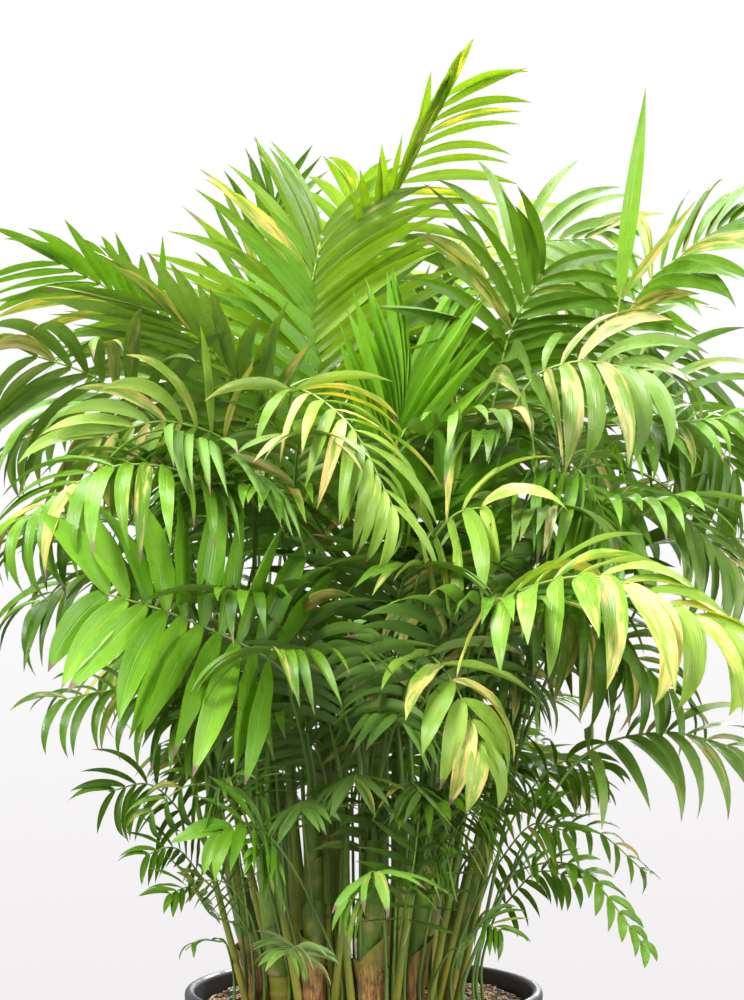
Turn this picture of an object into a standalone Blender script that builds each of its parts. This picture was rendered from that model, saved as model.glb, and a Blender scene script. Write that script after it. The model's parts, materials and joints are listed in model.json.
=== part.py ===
"""A parlour palm standing in a nursery pot: pot, soil, canes and one closed solid for each frond.

Metres, +Z up. The origin is the middle of the pot's flat base and the plant's front looks along -Y.
"""
import math
import random

import bmesh
import bpy
from mathutils import Quaternion, Vector
from mathutils.bvhtree import BVHTree

for old in list(bpy.data.objects):
    bpy.data.objects.remove(old, do_unlink=True)

# ---- sizes ---------------------------------------------------------------------------------
GAP = 0.0003  # left between any two pieces that rest on or fit round each other

POT_HEIGHT = 0.235
RIM_DIAMETER = 0.260
RIM_BAND_HEIGHT = 0.019  # the thickened band below the lip
RIM_THICKNESS = 0.0075
POT_WALL = 0.0025
POT_FLOOR = 0.003
BASE_DIAMETER = 0.188
DRAIN_HOLES = 6
DRAIN_HOLE_DIAMETER = 0.010
DRAIN_RING_RADIUS = 0.068
POT_STEPS = 40

SOIL_BELOW_LIP = 0.018
SOIL_MOUND = 0.003  # how far the middle stands above the edge
SOIL_SHOULDER = 0.009  # width of the slope between the wall and the raised middle
CANE_DEPTH = 0.020  # how deep a cane goes into the soil
PETIOLE_DEPTH = 0.012  # how deep a stalk that comes straight out of the soil goes

CANE_RADIUS = 0.0076
CANE_SIDES = 8
CANE_TOP = 0.78  # radius at the top over radius at the soil
SEAT_OVER_STALK = 2.35  # stalks stand on a cane's top this many half widths from its middle

STALK_HALF_WIDTH = 0.0017
STALK_HALF_HEIGHT = 0.0014
STALK_TIP_SCALE = 0.42
ROOT_HALF_LENGTH = 0.0038  # half the length of stalk that a leaflet grows from
BLADE_HALF_THICKNESS = 0.0004
CLEARANCE = 0.0004  # each leaflet is tried this much fatter against the pieces already there
ROOT_SHARE = 0.20  # half of a leaflet's root over the distance to the next pair
NECK_PLACE = 0.13  # how far along a leaflet its neck is, and its width there over its greatest
NECK_WIDTH = 0.58
LEAFLET_TRIES = 40
STALK_TRIES = 60

CHARTED_SOIL_TOP = 0.217  # the tables of canes and fronds are written for soil at this height
CHARTED_SOIL_RADIUS = 0.1207  # and of this radius
CROWN_SCALE = 1.0  # spreads the crown outwards and upwards from the soil
LEAFLET_SCALE = 1.0  # makes every leaflet longer and wider

SOIL_TOP = POT_HEIGHT - SOIL_BELOW_LIP
UP = Vector((0, 0, 1))
DOWN = Vector((0, 0, -1))


# ---- materials -----------------------------------------------------------------------------
def material(name, colour, roughness):
    made = bpy.data.materials.new(name)
    made.use_nodes = True
    shader = made.node_tree.nodes["Principled BSDF"]
    shader.inputs["Base Color"].default_value = (*colour, 1)
    shader.inputs["Roughness"].default_value = roughness
    return made


POT_PLASTIC = material("pot_plastic", (0.026, 0.026, 0.031), 0.45)
POTTING_SOIL = material("potting_soil", (0.030, 0.016, 0.011), 0.95)
CANE_SKIN = material("cane_skin", (0.105, 0.170, 0.045), 0.50)
LEAF_TONES = {
    "fresh": material("leaf_fresh", (0.125, 0.420, 0.035), 0.38),
    "backlit": material("leaf_backlit", (0.170, 0.340, 0.012), 0.45),
    "mature": material("leaf_mature", (0.040, 0.165, 0.022), 0.40),
    "grey": material("leaf_grey", (0.130, 0.250, 0.130), 0.35),
    "pale": material("leaf_pale", (0.420, 0.520, 0.120), 0.42),
}


# ---- making meshes -------------------------------------------------------------------------
def solid(name, points, faces, look, smooth=False):
    """Makes one named object from a closed shell and turns its faces outwards."""
    mesh = bpy.data.meshes.new(name)
    mesh.from_pydata([tuple(p) for p in points], [], faces)
    shell = bmesh.new()
    shell.from_mesh(mesh)
    bmesh.ops.recalc_face_normals(shell, faces=shell.faces)
    shell.to_mesh(mesh)
    shell.free()
    if smooth:
        mesh.polygons.foreach_set("use_smooth", [True] * len(mesh.polygons))
    made = bpy.data.objects.new(name, mesh)
    bpy.context.scene.collection.objects.link(made)
    if look:
        mesh.materials.append(look)
    return made


def turned(profile, steps):
    """Turns a profile of (radius, height) about Z and closes both ends with a flat disc."""
    points = []
    for radius, height in profile:
        for step in range(steps):
            angle = 2 * math.pi * step / steps
            points.append(Vector((radius * math.cos(angle), radius * math.sin(angle), height)))
    faces = [list(reversed(range(steps)))]
    for row in range(len(profile) - 1):
        low = row * steps
        high = low + steps
        for step in range(steps):
            after = (step + 1) % steps
            faces.append((low + step, low + after, high + after, high + step))
    faces.append(list(range(len(points) - steps, len(points))))
    return points, faces


def cutter(name, places, radius, bottom, top, sides):
    """One hidden mesh of upright round pegs, for a Boolean to take away."""
    points = []
    faces = []
    for x, y in places:
        first = len(points)
        for height in (bottom, top):
            for side in range(sides):
                angle = 2 * math.pi * (side + 0.5) / sides
                points.append(Vector((x + radius * math.cos(angle), y + radius * math.sin(angle), height)))
        ring = range(sides)
        faces.append([first + side for side in reversed(ring)])
        faces.append([first + sides + side for side in ring])
        for side in ring:
            after = (side + 1) % sides
            faces.append((first + side, first + after, first + sides + after, first + sides + side))
    made = solid(name, points, faces, None)
    made.hide_render = True
    made.display_type = "WIRE"
    return made


def cut(target, tool):
    boolean = target.modifiers.new("cut_" + tool.name, "BOOLEAN")
    boolean.operation = "DIFFERENCE"
    boolean.solver = "EXACT"
    boolean.object = tool


def tube(path, radii, sides):
    """A round stem through the points of path, with flat ends."""
    points = []
    faces = []
    side_way = Vector((1, 0, 0))
    before = UP
    for index, centre in enumerate(path):
        ahead = path[min(index + 1, len(path) - 1)]
        behind = path[max(index - 1, 0)]
        along = (ahead - behind).normalized()
        side_way = before.rotation_difference(along) @ side_way
        before = along
        across = along.cross(side_way)
        for side in range(sides):
            angle = 2 * math.pi * (side + 0.5) / sides
            points.append(centre + radii[index] * (side_way * math.cos(angle) + across * math.sin(angle)))
    for row in range(len(path) - 1):
        for side in range(sides):
            after = (side + 1) % sides
            low = row * sides
            faces.append((low + side, low + after, low + sides + after, low + sides + side))
    faces.append(list(reversed(range(sides))))
    faces.append([len(points) - sides + side for side in range(sides)])
    return points, faces


# ---- pot -----------------------------------------------------------------------------------
def wall_radius(height):
    """Outside radius of the plain tapered wall at a height."""
    low = BASE_DIAMETER / 2
    high = RIM_DIAMETER / 2 - RIM_THICKNESS + POT_WALL
    return low + (high - low) * height / (POT_HEIGHT - RIM_BAND_HEIGHT)


rim = RIM_DIAMETER / 2
lip_inside = rim - RIM_THICKNESS
band_foot = POT_HEIGHT - RIM_BAND_HEIGHT
pot_profile = [
    (BASE_DIAMETER / 2 - 0.002, 0),
    (wall_radius(0.003), 0.003),
    (wall_radius(band_foot), band_foot),
    (rim - 0.0012, band_foot + 0.0010),
    (rim, band_foot + 0.0035),
    (rim, POT_HEIGHT - 0.0045),
    (rim - 0.0016, POT_HEIGHT - 0.0012),
    (rim - RIM_THICKNESS / 2, POT_HEIGHT),
    (lip_inside + 0.0014, POT_HEIGHT - 0.0013),
    (lip_inside, POT_HEIGHT - 0.0048),
    (wall_radius(POT_FLOOR) - POT_WALL, POT_FLOOR),
]
pot_points, pot_faces = turned(pot_profile, POT_STEPS)
pot = solid("pot", pot_points, pot_faces, POT_PLASTIC, smooth=True)
drain_places = []
for hole in range(DRAIN_HOLES):
    turn = 2 * math.pi * (hole + 0.5) / DRAIN_HOLES
    drain_places.append((DRAIN_RING_RADIUS * math.cos(turn), DRAIN_RING_RADIUS * math.sin(turn)))
cut(pot, cutter("drain_pegs", drain_places, DRAIN_HOLE_DIAMETER / 2, -0.01, POT_FLOOR + 0.01, 10))


def inside_radius(height):
    """Inside radius of the pot, on the straight line from the floor's edge to the lip."""
    low = wall_radius(POT_FLOOR) - POT_WALL
    share = (height - POT_FLOOR) / (POT_HEIGHT - 0.0048 - POT_FLOOR)
    return low + (lip_inside - low) * share


# ---- canes ---------------------------------------------------------------------------------
# name, foot (x, y) in the soil, top (x, y, z), thickness over CANE_RADIUS
CANES = [
    ("cane_left_outer", (-0.074, -0.028), (-0.100, -0.034, 0.350), 0.95),
    ("cane_left_ringed", (-0.056, -0.064), (-0.070, -0.080, 0.340), 1.10),
    ("cane_left_front", (-0.033, -0.078), (-0.036, -0.092, 0.375), 0.90),
    ("cane_middle_tall", (-0.020, -0.040), (-0.026, -0.036, 0.430), 1.15),
    ("cane_front_papery", (0.004, -0.082), (0.006, -0.098, 0.355), 1.05),
    ("cane_right_front", (0.034, -0.066), (0.046, -0.076, 0.390), 0.90),
    ("cane_right_outer", (0.060, -0.036), (0.092, -0.036, 0.370), 0.90),
    ("cane_core", (0.008, 0.002), (0.012, 0.010, 0.460), 1.05),
    ("cane_back_left", (-0.046, 0.046), (-0.070, 0.070, 0.390), 1.00),
    ("cane_back_right", (0.046, 0.042), (0.072, 0.068, 0.400), 1.00),
]
CANE_STATIONS = 7


def spread(place):
    """Applies CROWN_SCALE to a charted place above the soil, and sets it above the soil as it is now."""
    x, y, z = place
    return Vector((x * CROWN_SCALE, y * CROWN_SCALE, SOIL_TOP + (z - CHARTED_SOIL_TOP) * CROWN_SCALE))


def footed(foot):
    """Moves a charted foot in or out with the pot's wall."""
    share = inside_radius(SOIL_TOP) / CHARTED_SOIL_RADIUS
    return foot[0] * share, foot[1] * share


canes = {}
standing = []  # (points, faces) of everything that a later piece has to keep clear of
for name, foot, top, thickness in CANES:
    start = Vector((*footed(foot), SOIL_TOP + SOIL_MOUND + 0.003))
    end = spread(top)
    path = [Vector((*footed(foot), SOIL_TOP - CANE_DEPTH)), start]
    for station in range(1, CANE_STATIONS):
        share = station / (CANE_STATIONS - 1)
        lean = share ** 1.25
        path.append(Vector((
            start.x + (end.x - start.x) * lean,
            start.y + (end.y - start.y) * lean,
            start.z + (end.z - start.z) * share,
        )))
    radii = []
    for station in range(len(path)):
        share = station / (len(path) - 1)
        swell = 0.10 * math.sin(math.pi * min(1.0, share * 1.4))
        radii.append(CANE_RADIUS * thickness * (1 + (CANE_TOP - 1) * share + swell))
    points, faces = tube(path, radii, CANE_SIDES)
    solid(name, points, faces, CANE_SKIN, smooth=True)
    standing.append((points, faces))
    canes[name] = (path[-1], (path[-1] - path[-2]).normalized())

# ---- soil ----------------------------------------------------------------------------------
soil_bottom = POT_FLOOR + GAP
soil_profile = [
    (inside_radius(soil_bottom) - GAP - 0.001, soil_bottom),
    (inside_radius(SOIL_TOP) - GAP - 0.0006, SOIL_TOP),
    (inside_radius(SOIL_TOP) - SOIL_SHOULDER, SOIL_TOP + SOIL_MOUND),
]
soil_points, soil_faces = turned(soil_profile, POT_STEPS)
soil = solid("soil", soil_points, soil_faces, POTTING_SOIL, smooth=True)
socket_top = SOIL_TOP + SOIL_MOUND + 0.010
for name, foot, top, thickness in CANES:
    socket = cutter(
        "socket_" + name,
        [footed(foot)],
        (CANE_RADIUS * thickness + GAP) / math.cos(math.pi / 16),
        SOIL_TOP - CANE_DEPTH - GAP,
        socket_top,
        16,
    )
    cut(soil, socket)
standing.append((pot_points, pot_faces))
standing.append((soil_points, soil_faces))

# ---- fronds --------------------------------------------------------------------------------
# name, foot (a cane's name, or x and y in the soil), blade's start, middle and end, the way its upper
# face looks, pairs of leaflets, leaflet length, leaflet width, sweep at start and end, droop, tone
FRONDS = [
    ("top_spire", "cane_core", (0.002, 0.02, 0.755), (0.034, 0.03, 0.835), (0.062, 0.02, 0.890),
     (0.75, -0.65, 0.2), 13, 0.098, 0.01, 62, 26, 32, "backlit"),
    ("backlit_fan", "cane_middle_tall", (-0.034, -0.05, 0.655), (-0.040, -0.03, 0.720), (-0.030, 0.00, 0.785),
     (0.1, -1.0, 0.2), 12, 0.128, 0.015, 60, 24, 24, "backlit"),
    ("thin_spire", "cane_back_left", (-0.085, 0.09, 0.710), (-0.078, 0.10, 0.765), (-0.068, 0.10, 0.820),
     (0.0, -1.0, 0.2), 8, 0.075, 0.0085, 42, 18, 10, "mature"),
    ("pale_crown", "cane_core", (-0.015, 0.07, 0.735), (-0.010, 0.08, 0.785), (-0.004, 0.07, 0.825),
     (0.0, -1.0, 0.3), 6, 0.062, 0.011, 60, 15, 55, "pale"),
    ("far_back_right", "cane_back_right", (0.060, 0.17, 0.740), (0.100, 0.21, 0.800), (0.140, 0.24, 0.830),
     (-0.3, -0.5, 0.8), 9, 0.055, 0.0075, 65, 35, 50, "pale"),
    ("grey_sweep", "cane_left_front", (-0.068, -0.08, 0.630), (-0.098, -0.10, 0.685), (-0.138, -0.12, 0.722),
     (-0.6, -0.6, 0.6), 9, 0.120, 0.0145, 46, 18, 24, "grey"),
    ("far_left_arch", "cane_left_outer", (-0.120, 0.02, 0.670), (-0.172, 0.00, 0.732), (-0.222, -0.02, 0.762),
     (-0.4, -0.5, 0.8), 11, 0.098, 0.011, 50, 20, 40, "fresh"),
    ("left_arch", "cane_left_outer", (-0.130, -0.06, 0.620), (-0.180, -0.09, 0.670), (-0.230, -0.11, 0.690),
     (-0.3, -0.4, 0.9), 9, 0.110, 0.013, 62, 30, 72, "grey"),
    ("left_front_droop", "cane_left_ringed", (-0.100, -0.14, 0.590), (-0.160, -0.18, 0.612), (-0.225, -0.20, 0.575),
     (-0.1, -0.4, 1.0), 10, 0.090, 0.014, 68, 30, 85, "fresh"),
    ("centre_cascade", "cane_middle_tall", (-0.050, -0.12, 0.660), (-0.010, -0.17, 0.640), (0.022, -0.20, 0.580),
     (0.3, -0.5, 0.8), 10, 0.078, 0.011, 62, 28, 70, "pale"),
    ("front_left_bright", "cane_left_front", (-0.058, -0.17, 0.480), (-0.118, -0.20, 0.512), (-0.172, -0.22, 0.530),
     (0.0, -0.9, 0.5), 10, 0.100, 0.02, 72, 24, 24, "fresh"),
    ("front_right_pale", "cane_right_front", (0.085, -0.20, 0.520), (0.150, -0.25, 0.540), (0.230, -0.27, 0.505),
     (0.1, -0.5, 0.9), 11, 0.095, 0.017, 68, 28, 72, "pale"),
    ("small_arch", "cane_front_papery", (0.040, -0.14, 0.545), (0.060, -0.16, 0.578), (0.085, -0.18, 0.585),
     (0.0, -0.4, 1.0), 4, 0.085, 0.017, 70, 35, 95, "pale"),
    ("low_centre_hang", "cane_front_papery", (0.040, -0.17, 0.485), (0.060, -0.20, 0.468), (0.078, -0.22, 0.425),
     (0.2, -0.6, 0.8), 6, 0.068, 0.016, 66, 25, 60, "pale"),
    ("low_right_hang", (0.072, -0.080), (0.150, -0.11, 0.412), (0.205, -0.12, 0.430), (0.255, -0.13, 0.420),
     (0.1, -0.4, 1.0), 6, 0.085, 0.012, 70, 32, 72, "grey"),
    ("right_feather", "cane_right_outer", (0.190, -0.01, 0.720), (0.230, -0.02, 0.766), (0.268, -0.02, 0.790),
     (-0.4, -0.4, 0.8), 9, 0.092, 0.012, 58, 24, 50, "mature"),
    ("lance", "cane_right_outer", (0.164, -0.08, 0.650), (0.174, -0.08, 0.700), (0.180, -0.08, 0.735),
     (0.0, -1.0, 0.1), 1, 0.158, 0.019, 10, 10, 6, "fresh"),
    ("right_folded", "cane_right_front", (0.105, -0.12, 0.655), (0.140, -0.14, 0.682), (0.190, -0.15, 0.675),
     (0.0, -0.3, 1.0), 6, 0.095, 0.018, 72, 35, 100, "grey"),
    ("right_cascade", "cane_right_outer", (0.170, -0.03, 0.645), (0.222, -0.05, 0.662), (0.265, -0.06, 0.605),
     (0.2, -0.3, 0.9), 10, 0.105, 0.013, 66, 28, 72, "mature"),
    ("centre_upright", "cane_middle_tall", (0.014, -0.05, 0.580), (0.022, -0.06, 0.625), (0.030, -0.06, 0.668),
     (0.0, -1.0, 0.1), 9, 0.108, 0.011, 26, 8, 12, "fresh"),
    ("star_fan", "cane_right_front", (0.045, -0.09, 0.545), (0.052, -0.10, 0.572), (0.060, -0.10, 0.592),
     (0.0, -1.0, 0.3), 5, 0.078, 0.012, 75, 15, 15, "fresh"),
    ("right_arch_high", "cane_core", (0.080, 0.03, 0.730), (0.115, 0.03, 0.775), (0.168, 0.03, 0.782),
     (0.1, -0.5, 0.9), 10, 0.088, 0.012, 66, 30, 58, "grey"),
    ("right_arch_tall", "cane_right_front", (0.092, -0.04, 0.655), (0.105, -0.05, 0.710), (0.128, -0.06, 0.752),
     (0.1, -0.8, 0.6), 10, 0.105, 0.012, 62, 28, 56, "mature"),
    ("right_arch_mid", "cane_back_right", (0.130, 0.02, 0.690), (0.190, 0.02, 0.712), (0.245, 0.02, 0.672),
     (0.1, -0.4, 0.9), 9, 0.104, 0.013, 64, 28, 66, "mature"),
    ("right_grey_droop", "cane_right_outer", (0.145, -0.07, 0.560), (0.200, -0.09, 0.588), (0.255, -0.10, 0.545),
     (0.1, -0.4, 0.9), 10, 0.090, 0.0145, 66, 30, 74, "grey"),
    ("right_dark_low", (0.082, -0.030), (0.125, -0.08, 0.475), (0.170, -0.10, 0.490), (0.215, -0.11, 0.455),
     (0.1, -0.3, 1.0), 9, 0.076, 0.011, 66, 30, 74, "mature"),
    ("right_back_droop", "cane_back_right", (0.150, 0.12, 0.600), (0.222, 0.15, 0.632), (0.280, 0.17, 0.600),
     (0.2, 0.1, 1.0), 9, 0.095, 0.012, 66, 30, 64, "mature"),
    ("right_wisp", "cane_right_front", (0.165, -0.12, 0.622), (0.205, -0.13, 0.640), (0.248, -0.14, 0.645),
     (0.0, -0.4, 1.0), 6, 0.055, 0.0075, 70, 35, 80, "fresh"),
    ("left_low_droop", "cane_left_outer", (-0.120, -0.03, 0.510), (-0.180, -0.05, 0.540), (-0.232, -0.07, 0.515),
     (-0.1, -0.4, 1.0), 9, 0.085, 0.0105, 66, 30, 76, "mature"),
    ("left_wisp", (-0.084, -0.046), (-0.110, -0.07, 0.425), (-0.162, -0.08, 0.455), (-0.212, -0.09, 0.450),
     (-0.1, -0.4, 1.0), 8, 0.062, 0.0085, 68, 35, 80, "mature"),
    ("left_back_droop", "cane_back_left", (-0.150, 0.12, 0.640), (-0.215, 0.15, 0.662), (-0.272, 0.17, 0.635),
     (-0.2, 0.1, 1.0), 9, 0.095, 0.012, 66, 30, 64, "mature"),
    ("left_tan", "cane_left_ringed", (-0.080, -0.10, 0.610), (-0.128, -0.13, 0.642), (-0.182, -0.15, 0.630),
     (-0.1, -0.4, 1.0), 9, 0.085, 0.012, 66, 30, 62, "pale"),
    ("inner_left", "cane_middle_tall", (-0.058, 0.02, 0.545), (-0.076, 0.02, 0.610), (-0.102, 0.01, 0.665),
     (-0.2, -1.0, 0.3), 10, 0.112, 0.0145, 58, 26, 34, "mature"),
    ("inner_right", "cane_core", (0.050, 0.05, 0.580), (0.066, 0.05, 0.645), (0.080, 0.04, 0.702),
     (0.2, -1.0, 0.3), 10, 0.112, 0.0145, 58, 26, 34, "mature"),
    ("back_high_left", "cane_back_left", (-0.050, 0.14, 0.660), (-0.080, 0.19, 0.705), (-0.120, 0.24, 0.700),
     (-0.2, 0.4, 0.9), 9, 0.095, 0.012, 64, 30, 58, "fresh"),
    ("back_high_right", "cane_back_right", (0.030, 0.14, 0.690), (0.045, 0.20, 0.728), (0.060, 0.26, 0.712),
     (0.2, 0.4, 0.9), 9, 0.100, 0.013, 64, 30, 58, "mature"),
    ("back_low_left", "cane_back_left", (-0.090, 0.15, 0.505), (-0.140, 0.21, 0.535), (-0.180, 0.26, 0.505),
     (-0.1, 0.3, 1.0), 9, 0.085, 0.011, 66, 30, 70, "mature"),
    ("back_low_right", "cane_back_right", (0.095, 0.15, 0.520), (0.140, 0.21, 0.550), (0.180, 0.26, 0.520),
     (0.1, 0.3, 1.0), 9, 0.085, 0.011, 66, 30, 70, "fresh"),
    ("back_centre", "cane_back_left", (-0.010, 0.15, 0.580), (-0.012, 0.21, 0.610), (-0.014, 0.27, 0.580),
     (0.0, 0.3, 1.0), 9, 0.098, 0.013, 66, 30, 66, "mature"),
    ("curled_left", (-0.078, -0.052), (-0.094, -0.08, 0.380), (-0.120, -0.10, 0.392), (-0.150, -0.11, 0.372),
     (-0.1, -0.4, 1.0), 5, 0.042, 0.006, 66, 40, 100, "mature"),
    ("fine_left", (-0.070, -0.070), (-0.084, -0.10, 0.312), (-0.096, -0.12, 0.328), (-0.118, -0.13, 0.330),
     (-0.1, -0.9, 0.5), 6, 0.026, 0.004, 66, 40, 25, "mature"),
    ("seedling", (-0.092, -0.050), (-0.100, -0.10, 0.284), (-0.112, -0.12, 0.288), (-0.121, -0.13, 0.283),
     (-0.1, -0.4, 1.0), 2, 0.024, 0.005, 60, 40, 80, "mature"),
    ("bright_tuft", (-0.016, -0.092), (-0.060, -0.14, 0.358), (-0.078, -0.16, 0.372), (-0.100, -0.17, 0.366),
     (0.0, -0.5, 0.9), 5, 0.038, 0.008, 62, 30, 50, "fresh"),
    ("brown_tip_fan", (0.016, -0.100), (0.012, -0.135, 0.312), (0.008, -0.145, 0.330), (0.004, -0.150, 0.342),
     (0.0, -1.0, 0.3), 5, 0.036, 0.006, 100, 20, 30, "fresh"),
    ("low_right_short", (0.078, -0.062), (0.104, -0.09, 0.330), (0.148, -0.11, 0.336), (0.194, -0.12, 0.282),
     (0.2, -0.5, 0.8), 8, 0.026, 0.009, 60, 35, 45, "fresh"),
    ("right_sprig", (0.086, -0.014), (0.120, -0.05, 0.352), (0.160, -0.07, 0.358), (0.198, -0.08, 0.328),
     (0.1, -0.5, 0.9), 6, 0.028, 0.0055, 64, 35, 60, "mature"),
    ("dark_ladder", (0.022, -0.050), (0.026, -0.120, 0.300), (0.034, -0.135, 0.340), (0.038, -0.140, 0.376),
     (0.2, -1.0, 0.2), 6, 0.048, 0.0075, 80, 40, 15, "mature"),
    ("inner_low", "cane_front_papery", (-0.010, -0.06, 0.482), (-0.001, -0.08, 0.537), (0.013, -0.10, 0.582),
     (0.1, -1.0, 0.5), 9, 0.100, 0.013, 58, 25, 40, "mature"),
]
PETIOLE_STATIONS = 5
STALK_CLEAR_OF_SOIL = 0.002  # how far above the soil such a stalk stays upright
PROBE_START = 0.0008  # a stalk on a cane is tried from this far above the cane's top
OWN_PROBE_START = 0.12  # a leaflet is tried against its own stalk from this far out of its root


def smooth_path(knots, per_span=16):
    """Points on an even curve through the knots (Catmull-Rom, with the end knots mirrored)."""
    ends = [2 * knots[0] - knots[1]] + knots + [2 * knots[-1] - knots[-2]]
    found = []
    for span in range(len(knots) - 1):
        a, b, c, d = ends[span:span + 4]
        for step in range(per_span):
            t = step / per_span
            found.append(0.5 * (
                2 * b
                + (c - a) * t
                + (2 * a - 5 * b + 4 * c - d) * t ** 2
                + (3 * b - a - 3 * c + d) * t ** 3
            ))
    found.append(knots[-1])
    return found


class Route:
    """A curve that can be asked for the place at any length along it."""

    def __init__(self, knots):
        self.places = smooth_path(knots)
        self.lengths = [0.0]
        for before, after in zip(self.places, self.places[1:]):
            self.lengths.append(self.lengths[-1] + (after - before).length)
        self.total = self.lengths[-1]

    def at(self, length):
        length = min(max(length, 0.0), self.total)
        for index in range(1, len(self.lengths)):
            if self.lengths[index] >= length:
                step = self.lengths[index] - self.lengths[index - 1]
                share = (length - self.lengths[index - 1]) / step if step else 0.0
                return self.places[index - 1].lerp(self.places[index], share)
        return self.places[-1]

    def along(self, length):
        return (self.at(length + 0.002) - self.at(length - 0.002)).normalized()


def seat_of(frond):
    """Where a frond's stalk starts and the way it sets off: a place on a cane's top, or a hole in the soil."""
    name, foot = frond[:2]
    if not isinstance(foot, str):
        return Vector((*footed(foot), SOIL_TOP - PETIOLE_DEPTH)), UP
    top, axis = canes[foot]
    sharing = [row for row in FRONDS if row[1] == foot]
    sharing.sort(key=lambda row: math.atan2(row[2][1] - top.y, row[2][0] - top.x))
    place = sharing.index(frond)
    aim = spread(sharing[0][2]) - top
    turn = math.atan2(aim.y, aim.x) + 2 * math.pi * place / len(sharing)
    reach = SEAT_OVER_STALK * STALK_HALF_WIDTH * (1 if len(sharing) < 5 else 1.12)
    if len(sharing) == 1:
        reach = 0
    level = Vector((math.cos(turn), math.sin(turn), 0)) * reach
    level -= axis * level.dot(axis)
    return top + axis * GAP + level, axis


def stations_of(route, blade_start, pairs, root_half, buried):
    """Lengths along the route at which the stalk has a ring, and which rings start a pair of leaflets."""
    lengths = [0.0, buried] if buried else [0.0]
    lengths += [buried + (blade_start - buried) * step / PETIOLE_STATIONS for step in range(1, PETIOLE_STATIONS)]
    starts = []
    pitch = (route.total - blade_start) / pairs
    for pair in range(pairs):
        middle = blade_start + (pair + 0.5) * pitch
        starts.append(len(lengths))
        lengths.append(middle - root_half)
        lengths.append(middle + root_half)
    lengths.append(route.total)
    return lengths, starts


def stalk(route, lengths, look, scale, extra=0.0):
    """Rings of four corners along the route; a ring is (centre, along, side, up, corners)."""
    ways = [route.along(length) for length in lengths]
    middle = len(lengths) * 2 // 3
    sides = [None] * len(lengths)
    sides[middle] = ways[middle].cross(look).normalized()
    for index in range(middle + 1, len(lengths)):
        sides[index] = ways[index - 1].rotation_difference(ways[index]) @ sides[index - 1]
    for index in range(middle - 1, -1, -1):
        sides[index] = ways[index + 1].rotation_difference(ways[index]) @ sides[index + 1]
    rings = []
    for length, way, side in zip(lengths, ways, sides):
        side = (side - way * side.dot(way)).normalized()
        up = side.cross(way)
        centre = route.at(length)
        taper = scale * (1 + (STALK_TIP_SCALE - 1) * length / route.total)
        half_w = STALK_HALF_WIDTH * taper + extra
        half_h = STALK_HALF_HEIGHT * taper + extra
        corners = [
            centre + side * half_w + up * half_h,
            centre + side * half_w - up * half_h,
            centre - side * half_w - up * half_h,
            centre - side * half_w + up * half_h,
        ]
        rings.append((centre, way, side, up, corners))
    return rings


def bare_faces(count, first=0):
    """Faces of a plain four-sided stalk of that many rings."""
    faces = [(first, first + 1, first + 2, first + 3)]
    for ring in range(count - 1):
        low = first + ring * 4
        for corner in range(4):
            after = (corner + 1) % 4
            faces.append((low + corner, low + after, low + 4 + after, low + 4 + corner))
    last = first + (count - 1) * 4
    faces.append((last + 3, last + 2, last + 1, last))
    return faces


def leaflet(root, way, width_way, fall, half_width, length, bend, thickness):
    """The corners of a leaflet's neck and of its widest place, and its tip. It bends evenly towards fall."""
    def place(share):
        turn = bend * share
        if abs(bend) < 0.01:
            return root + way * length * share
        return root + length / bend * (way * math.sin(turn) + fall * (1 - math.cos(turn)))

    corners = []
    for share, width in ((NECK_PLACE, NECK_WIDTH), (0.42, 1.0)):
        turn = bend * share
        heading = way * math.cos(turn) + fall * math.sin(turn)
        across = (width_way - heading * width_way.dot(heading)).normalized()
        normal = across.cross(heading)
        aside = across * half_width * width
        centre = place(share)
        corners += [
            centre - aside + normal * thickness,
            centre - aside - normal * thickness,
            centre + aside - normal * thickness,
            centre + aside + normal * thickness,
        ]
    return corners, place(1.0)


def turned_over(corners):
    """The same corners for a leaflet whose upper face has to be its other one."""
    found = []
    for a, b, c, d in (corners[:4], corners[4:]):
        found += [b, a, d, c]
    return found


def leaflet_faces(root, first):
    """Faces from four root corners through the neck and the widest place, first to first + 7, to the tip."""
    neck = range(first, first + 4)
    ring = range(first + 4, first + 8)
    faces = []
    for near, far in ((root, neck), (neck, ring)):
        # The upper and the lower skin are split along the same diagonal, so a twist never crosses them.
        faces += [(near[3], near[0], far[3]), (near[0], far[0], far[3])]
        faces += [(near[1], near[2], far[2]), (near[1], far[2], far[1])]
        faces += [(near[0], near[1], far[1]), (near[0], far[1], far[0])]
        faces += [(near[2], near[3], far[3]), (near[2], far[3], far[2])]
    faces += [(ring[corner], ring[(corner + 1) % 4], first + 8) for corner in range(4)]
    return faces


def tree_of(pieces):
    """One search tree over several (points, faces) pieces."""
    points = []
    faces = []
    for piece_points, piece_faces in pieces:
        first = len(points)
        points += piece_points
        for face in piece_faces:
            for corner in range(1, len(face) - 1):
                faces.append((first + face[0], first + face[corner], first + face[corner + 1]))
    return BVHTree.FromPolygons(points, faces) if faces else None


def touches(piece, *trees):
    mine = tree_of([piece])
    return any(tree and mine.overlap(tree) for tree in trees)


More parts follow.
